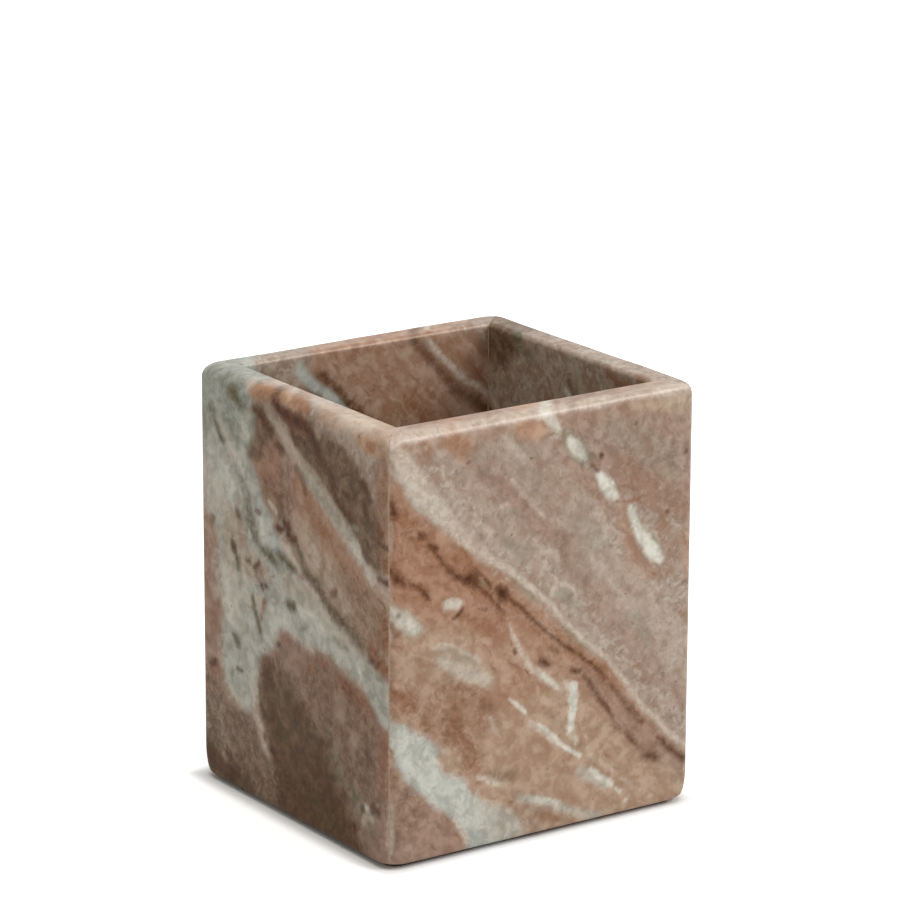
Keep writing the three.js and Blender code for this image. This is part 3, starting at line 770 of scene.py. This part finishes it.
def corner_radius(z):
    """Plan radius of the outer corners, ground rounder towards the foot and the rim."""
    def growth(away, height):
        share = 1 - np.clip(away / height, 0, 1)
        return 1 - np.sqrt(1 - share * share)
    at_foot = (FOOT_CORNER - ARRIS) * growth(z - PAD, FOOT_CORNER_HEIGHT)
    at_rim = (RIM_CORNER - ARRIS) * growth(TOP - z, RIM_CORNER_HEIGHT)
    return ARRIS + at_foot + at_rim


def spaced(start, stop, step):
    """Even places from start to stop, about step apart."""
    return np.linspace(start, stop, max(2, int(round(abs(stop - start) / step)) + 1))


def arc(steps):
    """Angles of a quarter turn."""
    return np.linspace(0, math.pi / 2, steps + 1)


def wall_profile(rim):
    """Closed section of a wall with a rim of outer radius rim, an array along the wall: insets
    and heights, a row for each point of the section, and the first row of the inner face.
    Rows go from the foot up the outer face, over the rim and down the inner face."""
    low, top, flat_end = PAD + FOOT_ROUND, TOP, WALL - MOUTH_ROUND
    rows = [(WALL * share, PAD) for share in (0.98, 0.55)]
    for a in arc(FOOT_STEPS):
        rows.append((FOOT_ROUND * (1 - math.sin(a)), PAD + FOOT_ROUND * (1 - math.cos(a))))
    straight = top - low - 2.5  # about what the rim's round leaves of the outer face
    for share in spaced(0, straight, FACE_STEP)[1:] / straight:
        rows.append((0, low + share * (top - rim - low)))
    for a in arc(RIM_STEPS)[1:]:
        rows.append((rim * (1 - math.cos(a)), top - rim * (1 - math.sin(a))))
    for share in np.linspace(0, 1, FLAT_STEPS + 1)[1:]:
        rows.append((rim + share * (flat_end - rim), top))
    for a in arc(MOUTH_STEPS)[1:]:
        rows.append((flat_end + MOUTH_ROUND * math.sin(a), top - MOUTH_ROUND * (1 - math.cos(a))))
    inner_first = len(rows)
    rows += [(WALL, z) for z in spaced(top - MOUTH_ROUND, PAD + BASE, INSIDE_STEP)[1:]]
    rows += [(WALL, PAD + BASE / 2), (WALL, PAD)]
    insets, heights = (np.array([value + 0 * rim for value in column]) for column in zip(*rows))
    return insets, heights, inner_first


def plan_point(share, half, across, inset, radius, gap):
    """Place on a wall's plan line, from -1 at its left mitre to 1 at its right one."""
    straight = half - inset - radius
    radius_or_tiny = np.maximum(radius, TINY)
    bend = math.pi / 4 - np.arcsin(np.clip(gap / radius_or_tiny, 0, 1))
    bend = np.where(radius > gap * 1.5, bend, 0)
    length = np.where(bend > 0, straight + radius * bend, half - inset - gap * math.sqrt(2))
    s = np.abs(share) * length
    angle = np.where(bend > 0, np.clip((s - straight) / radius_or_tiny, 0, math.pi / 4), 0)
    x = np.where(angle > 0, straight + radius * np.sin(angle), s)
    y = -(across - inset) + np.where(angle > 0, radius * (1 - np.cos(angle)), 0)
    return np.sign(share) * x, y


def plan_radius(inset, z):
    """Plan radius at an inset: the outer corner's, falling to nearly sharp at the inner face."""
    return corner_radius(z) * np.clip(1 - inset / (WALL - 1.0), 0, 1) ** 0.8


def half_sizes(side):
    """Half a wall's length, and its outer face's distance from the middle of the pot."""
    return (WIDTH / 2, DEPTH / 2) if side in ("front", "back") else (DEPTH / 2, WIDTH / 2)


def quarter_turns(x, y, count):
    """The place after some quarter turns about the middle of the pot."""
    for _ in range(count):
        x, y = -y, x
    return x, y


def rim_along(side, share):
    """Rim radius along a wall, between its corners' values, with the unevenness of hand work."""
    left, right = (RIM_ROUND[corner] for corner in CORNERS[side])
    t = (share + 1) / 2
    row = np.full_like(t, SIDES.index(side) + 0.5)
    uneven = lattice_noise(t * 7.0 + 0.37, row, SEEDS["rim"]) * np.sin(math.pi * t)
    return left + (right - left) * smooth_step(t) + RIM_WAVE * uneven


def make_wall(side):
    """Wall slab with its veins and texture layout, made as the front one and turned to its side."""
    turns = SIDES.index(side)
    half, across = half_sizes(side)
    middle = spaced(0, half - END_REACH, FACE_STEP)
    end = (half - END_REACH) + spaced(0, END_REACH, END_STEP)[1:]
    one_side = np.concatenate([middle, end]) / half
    share = np.concatenate([-one_side[:0:-1], one_side])
    inset, z, inner_first = wall_profile(rim_along(side, share))
    x, y = plan_point(share + 0 * inset, half, across, inset, plan_radius(inset, z), MITRE_GAP)
    u, v, n = x + half, z - PAD, y + across

    # waves that fade out towards the ends, the foot and the rim, and a rim that dips a little
    waves = (LONG_WAVE * lattice_noise(u / 19 + 3.1, v / 17 + 1.7, SEEDS["long"] + turns)
             + SHORT_WAVE * lattice_noise(u / 6, v / 7, SEEDS["short"] + turns))
    for away, fade in ((half - np.abs(x), 6), (v, 5), (HEIGHT - v, 3)):
        waves = waves * np.clip(away / fade, 0, 1)
    y = y + np.where(n < SKIN, FACE_SUNK + waves, -waves)
    dips = TOP_SUNK * (1 + lattice_noise(u / 13, n / 9, SEEDS["top"] + turns))
    z = z - dips * np.clip((v - 90) / 8, 0, 1)

    rows, columns = inset.shape
    wx, wy = quarter_turns(x, y, turns)
    index = np.arange(rows * columns).reshape(rows, columns)
    above = np.roll(index, -1, 0)
    quads = np.stack([index[:, :-1], index[:, 1:], above[:, 1:], above[:, :-1]], -1)
    faces = quads.reshape(-1, 4).tolist() + [index[:, 0].tolist(), index[::-1, -1].tolist()]

    def sharp(a, b):
        """The outlines of the two mitre faces and the foot's inner edge."""
        row_a, column_a = np.divmod(a, columns)
        row_b, column_b = np.divmod(b, columns)
        ends = (column_a == column_b) & ((column_a == 0) | (column_a == columns - 1))
        last = (row_a == row_b) & (row_a == rows - 1)
        return ends | last
    vertices = np.stack([wx, wy, z], -1).reshape(-1, 3)
    obj = new_object(side + "_marble_wall", vertices, faces, sharp=sharp)
    du, dv = DIP[side]
    seed = SEEDS["veins"] + 10 * turns
    add_layers(obj, vein_layers(side, (u + du * n).ravel(), (v + dv * n).ravel(), seed))
    lay_out_wall(obj, share, inner_first, inset, z)
    return obj


def lay_out_wall(obj, share, inner_first, inset, z):
    """Texture layout: outer face and rim on the left, inner face on the right and the two
    mitre faces in strips at the right edge."""
    margin, tall = 0.004, 0.99
    outer_wide, inner_start, inner_wide = 0.53, 0.545, 0.40
    strip_start, strip_wide, strip_step = 0.955, 0.018, 0.022
    rows, columns = inset.shape
    middle = columns // 2
    steps = np.hypot(np.diff(inset[:, middle]), np.diff(z[:, middle]))
    run = np.concatenate([[0], np.cumsum(steps)])
    split = run[inner_first]
    run = np.concatenate([run, [run[-1] + WALL]])
    across = (share + 1) / 2
    row, column = np.divmod(np.arange(rows * (columns - 1)), columns - 1)
    outer = (row < inner_first)[:, None]
    across = across[np.stack([column, column + 1, column + 1, column], -1)]
    run = run[np.stack([row, row, row + 1, row + 1], -1)]
    place_u = np.where(outer, margin + outer_wide * across, inner_start + inner_wide * across)
    place_v = np.where(outer, tall * run / split, tall * (run - split) / (run[-1, -1] - split))
    quads = np.stack([place_u, margin + place_v], -1).reshape(-1, 2)
    strip = np.stack([strip_start + strip_wide * inset[:, 0] / WALL,
                      margin + tall * ((z[:, 0] - PAD) / HEIGHT)], -1)
    far_strip = strip[::-1] + [strip_step, 0]
    layout = obj.data.uv_layers.new(name="OFBake")
    layout.data.foreach_set("uv", np.concatenate([quads, strip, far_strip]).ravel())


def make_mitre_bond(corner):
    """Film of resin in a mitre, with the same outline as the stone on both sides."""
    sunk, top_sunk = 0.05, 0.06
    side = next(s for s in SIDES if CORNERS[s][1] == corner)
    half, across = half_sizes(side)
    inset, z, _ = wall_profile(np.array([RIM_ROUND[corner]]))
    inset, z = inset[:, 0], z[:, 0]

    # every fourth row is enough on the straight faces
    keep = np.arange(len(inset)) % 4 == 0
    for step in (np.diff(inset, prepend=inset[0]), np.diff(inset, append=inset[-1])):
        keep |= np.abs(step) > TINY
    keep[-1] = True
    inset, z = inset[keep], z[keep]

    x, y = plan_point(np.ones_like(inset), half, across, inset, plan_radius(inset, z), 0.0)
    x, y = x - sunk, y + sunk
    z = z - np.where(z > TOP - 0.5, top_sunk, 0)
    thick = (MITRE_FILM / 2) / math.sqrt(2)
    loops = []
    for way in (-1, 1):
        wx, wy = quarter_turns(x + way * thick, y + way * thick, SIDES.index(side))
        loops.append(np.stack([wx, wy, z], -1))
    count = len(x)
    faces = [[i, (i + 1) % count, count + (i + 1) % count, count + i] for i in range(count)]
    faces += [list(range(count))[::-1], list(range(count, 2 * count))]
    return new_object(corner + "_resin_mitre", np.concatenate(loops), faces, smooth=False)


def make_base():
    """Base slab with eased edges and a slightly uneven honed top."""
    ease = 0.6
    hx, hy = WIDTH / 2 - WALL - BASE_FILM, DEPTH / 2 - WALL - BASE_FILM
    lines = []
    for half in (hx, hy):
        edge = half - ease + ease * np.sin(arc(4))
        flat = spaced(-(half - ease), half - ease, BASE_STEP)[1:-1]
        lines.append(np.concatenate([-edge[::-1], flat, edge]))
    gx, gy = np.meshgrid(*lines, indexing="ij")
    over = np.maximum(np.maximum(np.abs(gx) - (hx - ease), np.abs(gy) - (hy - ease)), 0)
    drop = ease - np.sqrt(np.maximum(ease * ease - over * over, 0))
    waves = BASE_WAVE * lattice_noise(gx / 9 + 5, gy / 8 + 2, SEEDS["base"])
    high = PAD + BASE - drop - BASE_SUNK + waves * (drop == 0)
    top, bottom = (np.stack([gx, gy, z], -1).reshape(-1, 3) for z in (high, PAD + drop))
    nx, ny = gx.shape
    index = np.arange(nx * ny).reshape(nx, ny)
    tops = np.stack([index[:-1, :-1], index[1:, :-1], index[1:, 1:], index[:-1, 1:]], -1)
    tops = tops.reshape(-1, 4)
    bottoms = tops[:, ::-1] + nx * ny
    rim = np.concatenate([index[:, 0], index[-1, 1:], index[-2::-1, -1], index[0, -2:0:-1]])
    after = np.roll(rim, -1)
    sides = np.stack([rim + nx * ny, after + nx * ny, after, rim], -1)
    faces = np.concatenate([tops, bottoms, sides]).tolist()
    obj = new_object("base_marble_slab", np.concatenate([top, bottom]), faces)
    layers = vein_layers("base", (gx + hx).ravel(), (gy + hy).ravel(), SEEDS["base_veins"])
    add_layers(obj, {name: np.tile(values, 2) for name, values in layers.items()})
    return obj


def make_base_bond():
    """Film of resin round the base slab, with a small uneven cove squeezed out above it."""
    half_x, half_y, floor = WIDTH / 2 - WALL, DEPTH / 2 - WALL, PAD + BASE
    steps, ups = 40, arc(6)[::-1]
    usual, wave = 0.82, 0.16  # shares of COVE
    waves_round, off_wall = 36.0, 0.05
    corners = [(-1, -1), (1, -1), (1, 1), (-1, 1)]
    vertices = []
    for i, ((ax, ay), (bx, by)) in enumerate(zip(corners, corners[1:] + corners[:1])):
        for t in np.arange(steps) / steps:
            sx, sy = ax + (bx - ax) * t, ay + (by - ay) * t
            place = np.array([(i + t) / 4 * waves_round])
            reach = COVE * (usual + wave * lattice_noise(place, np.array([0.5]), SEEDS["cove"])[0])
            section = [(CLEARANCE, PAD), (CLEARANCE, floor + reach)]
            section += zip(CLEARANCE + reach * (1 - np.sin(ups)) + off_wall,
                           floor + CLEARANCE + reach * (1 - np.cos(ups)))
            section += [(BASE_FILM - CLEARANCE, floor + 0.01), (BASE_FILM - CLEARANCE, PAD)]
            vertices += [(sx * (half_x - inset), sy * (half_y - inset), z) for inset, z in section]
    index = np.arange(len(vertices)).reshape(-1, len(section))
    onward = np.roll(index, -1, 0)
    faces = np.stack([index, onward, np.roll(onward, -1, 1), np.roll(index, -1, 1)], -1)
    return new_object("base_resin_bond", vertices, faces.reshape(-1, 4).tolist())


def rounded_rectangle(half_x, half_y, radius, steps):
    """Points round a rectangle with rounded corners."""
    points = []
    for sx, sy, start in [(1, -1, -90), (1, 1, 0), (-1, 1, 90), (-1, -1, 180)]:
        for step in range(steps + 1):
            angle = math.radians(start + 90 * step / steps)
            points.append((sx * (half_x - radius) + radius * math.cos(angle),
                           sy * (half_y - radius) + radius * math.sin(angle)))
    return points


def make_pad():
    """Thin foam pad, cut a little smaller than the foot."""
    edge, shoulder = 0.12, 0.03
    half_x, half_y = WIDTH / 2 - PAD_INSET, DEPTH / 2 - PAD_INSET
    levels = [(edge, 0.0), (shoulder, edge * 0.5), (0, edge),
              (0, PAD - edge), (shoulder, PAD - edge * 0.5), (edge, PAD)]
    vertices = []
    for draw, z in levels:
        outline = rounded_rectangle(half_x - draw, half_y - draw, PAD_CORNER - draw, 12)
        vertices += [(x, y, z) for x, y in outline]
    index = np.arange(len(vertices)).reshape(len(levels), -1)
    low, high = index[:-1], index[1:]
    faces = np.stack([low, np.roll(low, -1, 1), np.roll(high, -1, 1), high], -1)
    faces = faces.reshape(-1, 4).tolist() + [index[0, ::-1].tolist(), index[-1].tolist()]
    return new_object("foam_foot_pad", vertices, faces, smooth=False)


# Materials

def srgb(red, green, blue):
    """Linear colour of one read as 0 to 255 from a screen."""
    def linear(c):
        return c / 12.92 if c <= 0.04045 else ((c + 0.055) / 1.055) ** 2.4
    return tuple(linear(c / 255) for c in (red, green, blue)) + (1.0,)


class Graph:
    """Short ways to add the nodes of a material or a world."""

    def __init__(self, owner):
        owner.use_nodes = True
        self.owner, self.tree = owner, owner.node_tree
        self.tree.nodes.clear()

    def node(self, kind, inputs=(), **settings):
        """A new node with its settings, and its inputs linked to sockets or set to values."""
        made = self.tree.nodes.new(kind)
        for key, value in settings.items():
            setattr(made, key, value)
        for key, value in dict(inputs).items():
            if isinstance(value, bpy.types.NodeSocket):
                self.tree.links.new(value, made.inputs[key])
            else:
                made.inputs[key].default_value = value
        return made

    def math(self, operation, a, b=0.0):
        return self.node("ShaderNodeMath", {0: a, 1: b}, operation=operation).outputs[0]

    def vector(self, operation, a, b):
        inputs = {0: a, "Scale" if operation == "SCALE" else 1: b}
        made = self.node("ShaderNodeVectorMath", inputs, operation=operation)
        return made.outputs["Value" if operation == "DOT_PRODUCT" else "Vector"]

    def millimetres(self):
        """Places on the object, in millimetres."""
        return self.vector("SCALE", self.node("ShaderNodeTexCoord").outputs["Object"], 1 / MM)

    def noise(self, where, size, detail=2.0, rough=0.5, warp=0.0):
        """Noise from 0 to 1 whose features are about size millimetres wide."""
        inputs = {"Vector": where, "Scale": 1 / size, "Detail": detail, "Roughness": rough,
                  "Distortion": warp}
        return self.node("ShaderNodeTexNoise", inputs).outputs["Fac"]

    def mask(self, value, low, high):
        """0 below low and 1 above high, with a smooth step between them."""
        inputs = {"Value": value, "From Min": low, "From Max": high}
        made = self.node("ShaderNodeMapRange", inputs, interpolation_type="SMOOTHSTEP")
        return made.outputs["Result"]

    def mix(self, factor, a, b, blend="MIX"):
        inputs = {0: factor, 6: a, 7: b}
        return self.node("ShaderNodeMix", inputs, data_type="RGBA", blend_type=blend).outputs[2]

    def principled(self, colour, roughness, height, strength, distance, more=()):
        """Ends a material with a surface whose bumps follow height."""
        bump = {"Height": height, "Strength": strength, "Distance": distance}
        normal = self.node("ShaderNodeBump", bump).outputs[0]
        inputs = {"Base Color": colour, "Roughness": roughness, "IOR": 1.5, "Normal": normal}
        return self.finish(self.node("ShaderNodeBsdfPrincipled", {**inputs, **dict(more)}))

    def finish(self, shader, kind="ShaderNodeOutputMaterial"):
        """Ends the graph with the output node and gives back the material or world."""
        self.node(kind, {"Surface": shader.outputs[0]})
        return self.owner


def bedding(g, place, along, across):
    """Place stretched along the stone's bedding planes, which stand at right angles to (1, -1, 1)."""
    normal = Vector((1, -1, 1)).normalized()
    first = Vector((1, 1, 0)).normalized()
    second = normal.cross(first)
    parts = {}
    for i, (axis, size) in enumerate(((normal, across), (first, along), (second, along))):
        parts[i] = g.math("MULTIPLY", g.vector("DOT_PRODUCT", place, tuple(axis)), 1 / size)
    return g.node("ShaderNodeCombineXYZ", parts).outputs[0]


def make_marble():
    """Marble whose layers lie over a ground, each where its cover on the mesh says."""
    g = Graph(bpy.data.materials.new("veined_marble"))

    # places that drift up to about 2 mm, so that nothing runs dead straight
    at = g.millimetres()
    drift = g.node("ShaderNodeTexNoise", {"Vector": at, "Scale": 0.2, "Detail": 2.0}).outputs["Color"]
    drift = g.vector("SCALE", g.vector("SUBTRACT", drift, (0.5, 0.5, 0.5)), 3.5)
    place = g.vector("ADD", at, drift)

    # noises that several layers share
    cloud = g.noise(place, 8.0, 3.0, 0.55)
    patch = g.noise(place, 3.0, 2.0, 0.55)
    speckle = g.noise(place, 1.4, 2.0, 0.55)
    grain = g.noise(place, 0.28, 3.0, 0.6)
    band = g.noise(bedding(g, place, 12.0, 3.2), 1.0, 3.0, 0.55)
    streak = g.noise(bedding(g, place, 5.5, 1.4), 1.0, 2.0, 0.55)
    mottle = g.noise(at, 1.7, 1.5, 0.5, 0.25)

    def centred(size, detail, rough, most):
        """Noise with a mean of 0 and a range of most."""
        return g.math("MULTIPLY", g.math("SUBTRACT", g.noise(place, size, detail, rough), 0.5), most)
    ragged = g.math("ADD", centred(1.6, 3.0, 0.6, 1.6), centred(0.5, 2.0, 0.5, 0.7))

    def stone(by, first, second, *tones, high=0.65):
        """Two tones mixed by a noise, then tones over them, each with a noise of its own, the
        limits between which it comes in and the most it covers."""
        colour = g.mix(g.mask(by, 0.35, high), srgb(*first), srgb(*second))
        for noise, low, full, most, tone in tones:
            colour = g.mix(g.math("MULTIPLY", g.mask(noise, low, full), most), colour, srgb(*tone))
        return colour

    # pinkish-grey ground: brown bands, pale clouds, fine curls and small dark smudges
    colour = stone(patch, (155, 133, 117), (172, 154, 139),
                   (band, 0.47, 0.66, 0.85, (147, 117, 98)),
                   (cloud, 0.52, 0.7, 0.6, (178, 165, 150)),
                   (mottle, 0.5, 0.68, 0.5, (192, 180, 166)),
                   (speckle, 0.5, 0.68, 0.6, (124, 108, 93)))
    layers = {
        "orange": stone(patch, (161, 125, 102), (181, 150, 129),
                        (band, 0.47, 0.66, 0.8, (149, 108, 81)),
                        (streak, 0.54, 0.7, 0.6, (134, 93, 67)),
                        (cloud, 0.54, 0.7, 0.4, (182, 158, 137)),
                        (mottle, 0.56, 0.7, 0.3, (190, 164, 140))),
        "mauve": stone(patch, (139, 112, 96), (163, 134, 117),
                       (streak, 0.5, 0.68, 0.5, (118, 91, 76))),
        "salmon": stone(patch, (148, 106, 80), (172, 132, 107),
                        (streak, 0.52, 0.68, 0.5, (184, 148, 124))),
        "brown": stone(patch, (85, 63, 40), (119, 93, 66),
                       (band, 0.45, 0.65, 0.6, (74, 53, 33)),
                       (cloud, 0.5, 0.7, 0.4, (130, 102, 79))),
        "white": stone(patch, (160, 163, 156), (186, 188, 180),
                       (cloud, 0.5, 0.68, 0.7, (196, 198, 190)),
                       (streak, 0.55, 0.72, 0.45, (152, 148, 130)),
                       (speckle, 0.6, 0.72, 0.4, (136, 134, 118))),
        "blush": stone(patch, (163, 140, 118), (186, 166, 144)),
        "green": stone(patch, (110, 107, 88), (140, 137, 118)),
        "pale": stone(speckle, (182, 165, 148), (206, 191, 176)),
        "bright": stone(patch, (190, 187, 174), (218, 214, 201), high=0.6),
        "amber": stone(patch, (172, 126, 92), (196, 156, 126)),
        "rust": stone(speckle, (126, 80, 52), (152, 106, 76)),
        "olive": stone(speckle, (76, 66, 38), (100, 88, 60)),
        "dark": stone(speckle, (66, 28, 0), (94, 52, 18)),
    }
    raggedness = {"salmon": 1.2, "brown": 1.2, "bright": 0.8, "dark": 0.6}
    for name in LAYERS:
        depth = g.node("ShaderNodeAttribute", attribute_name=name).outputs["Fac"]
        depth = g.math("ADD", depth, g.math("MULTIPLY", ragged, raggedness.get(name, 1.0)))
        colour = g.mix(g.mask(depth, -1.0, 1.0), colour, layers[name])

    # small dark mineral grains and the cut stone's fine grain over everything
    flecks = g.math("MULTIPLY", g.mask(g.noise(place, 2.2), 0.67, 0.73), g.mask(cloud, 0.45, 0.6))
    colour = g.mix(g.math("MULTIPLY", flecks, 0.5), colour, srgb(98, 66, 46))
    shade = g.math("ADD", 0.94, g.math("MULTIPLY", grain, 0.12))
    shade = g.node("ShaderNodeCombineXYZ", {0: shade, 1: shade, 2: shade}).outputs[0]
    colour = g.mix(1.0, colour, shade, "MULTIPLY")

    roughness = g.math("ADD", 0.30, g.math("MULTIPLY", speckle, 0.14))
    height = g.math("ADD", g.math("MULTIPLY", grain, 0.4), g.math("MULTIPLY", speckle, 0.6))
    return g.principled(colour, roughness, height, 0.12, 0.00025, {"Specular IOR Level": 0.2})


def make_resin():
    """Pale stone resin."""
    g = Graph(bpy.data.materials.new("pale_resin"))
    dust = g.noise(g.millimetres(), 0.8, 3.0, 0.6)
    colour = g.mix(g.mask(dust, 0.35, 0.65), srgb(160, 134, 114), srgb(184, 160, 140))
    roughness = g.math("ADD", 0.3, g.math("MULTIPLY", dust, 0.2))
    return g.principled(colour, roughness, dust, 0.2, 0.0001)


def make_foam():
    """Dull dark foam with small cells."""
    g = Graph(bpy.data.materials.new("dark_foam"))
    place = g.millimetres()
    cells = g.node("ShaderNodeTexVoronoi", {"Vector": place, "Scale": 3.2}).outputs["Distance"]
    tone = g.noise(place, 3.0, 3.0, 0.6)
    colour = g.mix(g.mask(tone, 0.3, 0.7), srgb(46, 42, 39), srgb(66, 61, 57))
    colour = g.mix(g.math("MULTIPLY", g.mask(cells, 0.35, 0.6), 0.5), colour, srgb(30, 27, 25))
    return g.principled(colour, 0.95, cells, 0.5, 0.00015, {"IOR": 1.45})


def make_floor_material():
    """White paper sweep. The camera sees it lit a little more, so that it is white but for
    the shadow at the foot."""
    shadow_reach, lift_strength = 0.005, 0.48
    g = Graph(bpy.data.materials.new("white_floor"))
    seen = g.node("ShaderNodeLightPath").outputs["Is Camera Ray"]
    position = g.node("ShaderNodeNewGeometry").outputs["Position"]
    part = g.node("ShaderNodeSeparateXYZ", {0: position}).outputs
    squares = []
    for axis, size in ((0, WIDTH), (1, DEPTH)):
        beyond = g.math("SUBTRACT", g.math("ABSOLUTE", part[axis]), size / 2 * MM)
        squares.append(g.math("POWER", g.math("MAXIMUM", beyond, 0.0), 2.0))
    away = g.math("SQRT", g.math("ADD", *squares))
    paper = g.node("ShaderNodeBsdfDiffuse", {"Color": g.mix(seen, (0.8, 0.8, 0.8, 1), (1, 1, 1, 1))})
    bright = g.math("MULTIPLY", g.mask(away, 0.0, shadow_reach), lift_strength)
    bright = g.math("MULTIPLY", seen, bright)
    lift = g.node("ShaderNodeEmission", {"Color": (1, 1, 1, 1), "Strength": bright})
    return g.finish(g.node("ShaderNodeAddShader", {0: paper.outputs[0], 1: lift.outputs[0]}))


# Assembly

body = next(iter(frame["bodies"]))
marble, resin, foam = make_marble(), make_resin(), make_foam()


def place_piece(obj, node, material):
    """Gives a piece its material and its body, and hides the CAD node that it stands for."""
    obj.data.materials.append(material)
    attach(obj, body)
    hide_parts(node)


for side in SIDES:
    place_piece(make_wall(side), side + "_wall", marble)
for corner in RIM_ROUND:
    place_piece(make_mitre_bond(corner), corner + "_mitre_bond", resin)
place_piece(make_base(), "base_slab", marble)
place_piece(make_base_bond(), "base_bond", resin)
place_piece(make_pad(), "foam_pad", foam)


# Floor, light and camera

def make_floor():
    """Square floor round the pot."""
    reach = 3.0
    mesh = bpy.data.meshes.new("floor")
    corners = [(-reach, -reach, 0), (reach, -reach, 0), (reach, reach, 0), (-reach, reach, 0)]
    mesh.from_pydata(corners, [], [(0, 1, 2, 3)])
    floor = bpy.data.objects.new("floor", mesh)
    bpy.context.scene.collection.objects.link(floor)
    mesh.materials.append(make_floor_material())


def area_light(name, azimuth, elevation, distance, size, power):
    """Soft box of a width and height that faces the pot. Azimuth 0 is in front of it and 90
    on its right. Distance and size are in metres, power in watts."""
    data = bpy.data.lights.new(name, "AREA")
    data.shape = "RECTANGLE"
    data.size, data.size_y = size
    data.energy = power
    light = bpy.data.objects.new(name, data)
    a, e = math.radians(azimuth), math.radians(elevation)
    out = Vector((math.sin(a) * math.cos(e), -math.cos(a) * math.cos(e), math.sin(e)))
    light.location = Vector((0, 0, 0.05)) + out * distance
    light.rotation_mode = "QUATERNION"
    light.rotation_quaternion = out.to_track_quat("Z", "Y")
    bpy.context.scene.collection.objects.link(light)
    return light


def make_world():
    """Warm grey room that the camera and reflections see as white."""
    world = bpy.data.worlds.new("white_room")
    bpy.context.scene.world = world
    g = Graph(world)
    path = g.node("ShaderNodeLightPath").outputs
    seen = g.math("MAXIMUM", path["Is Camera Ray"], path["Is Glossy Ray"])
    grey, white = (0.485, 0.476, 0.450, 1.0), (1.0, 1.0, 1.0, 1.0)
    room = g.node("ShaderNodeBackground", {"Color": g.mix(seen, grey, white)})
    g.finish(room, "ShaderNodeOutputWorld")


def make_camera():
    """Camera as in the photograph: a long lens, turned to the left and looking down a little."""
    focal_pixels, image_pixels, sensor = 4515.1, 900, 36.0
    yaw, dip, roll = (math.radians(a) for a in (34.497, 15.816, 0.190))
    pot = (-1.451, -79.241, 1062.80)  # the pot's foot in the camera's axes, in millimetres
    ahead = Vector((math.sin(yaw) * math.cos(dip), math.cos(yaw) * math.cos(dip), -math.sin(dip)))
    level_right = Vector((math.cos(yaw), -math.sin(yaw), 0))
    level_up = level_right.cross(ahead)
    right = math.cos(roll) * level_right + math.sin(roll) * level_up
    up = -math.sin(roll) * level_right + math.cos(roll) * level_up
    data = bpy.data.cameras.new("camera")
    data.sensor_width = sensor
    data.lens = focal_pixels / image_pixels * sensor
    data.clip_start, data.clip_end = 0.1, 20
    camera = bpy.data.objects.new("camera", data)
    axes = Matrix((right, up, -ahead)).transposed()
    spot = -(right * pot[0] + up * pot[1] + ahead * pot[2]) * MM
    camera.matrix_world = Matrix.Translation(spot) @ axes.to_4x4()
    bpy.context.scene.collection.objects.link(camera)
    bpy.context.scene.camera = camera


make_floor()
key = area_light("key_light", 37, 34, 0.9, (0.5, 0.4), 3.3)
key.data.color = (0.98, 1.0, 1.03)
edge = area_light("edge_light", 36, 42, 0.9, (0.6, 0.12), 8.0)
edge.visible_diffuse = False
area_light("top_light", -10, 82, 1.0, (0.8, 0.8), 5.0)
make_world()
make_camera()
bpy.context.scene.view_settings.view_transform = "Standard"
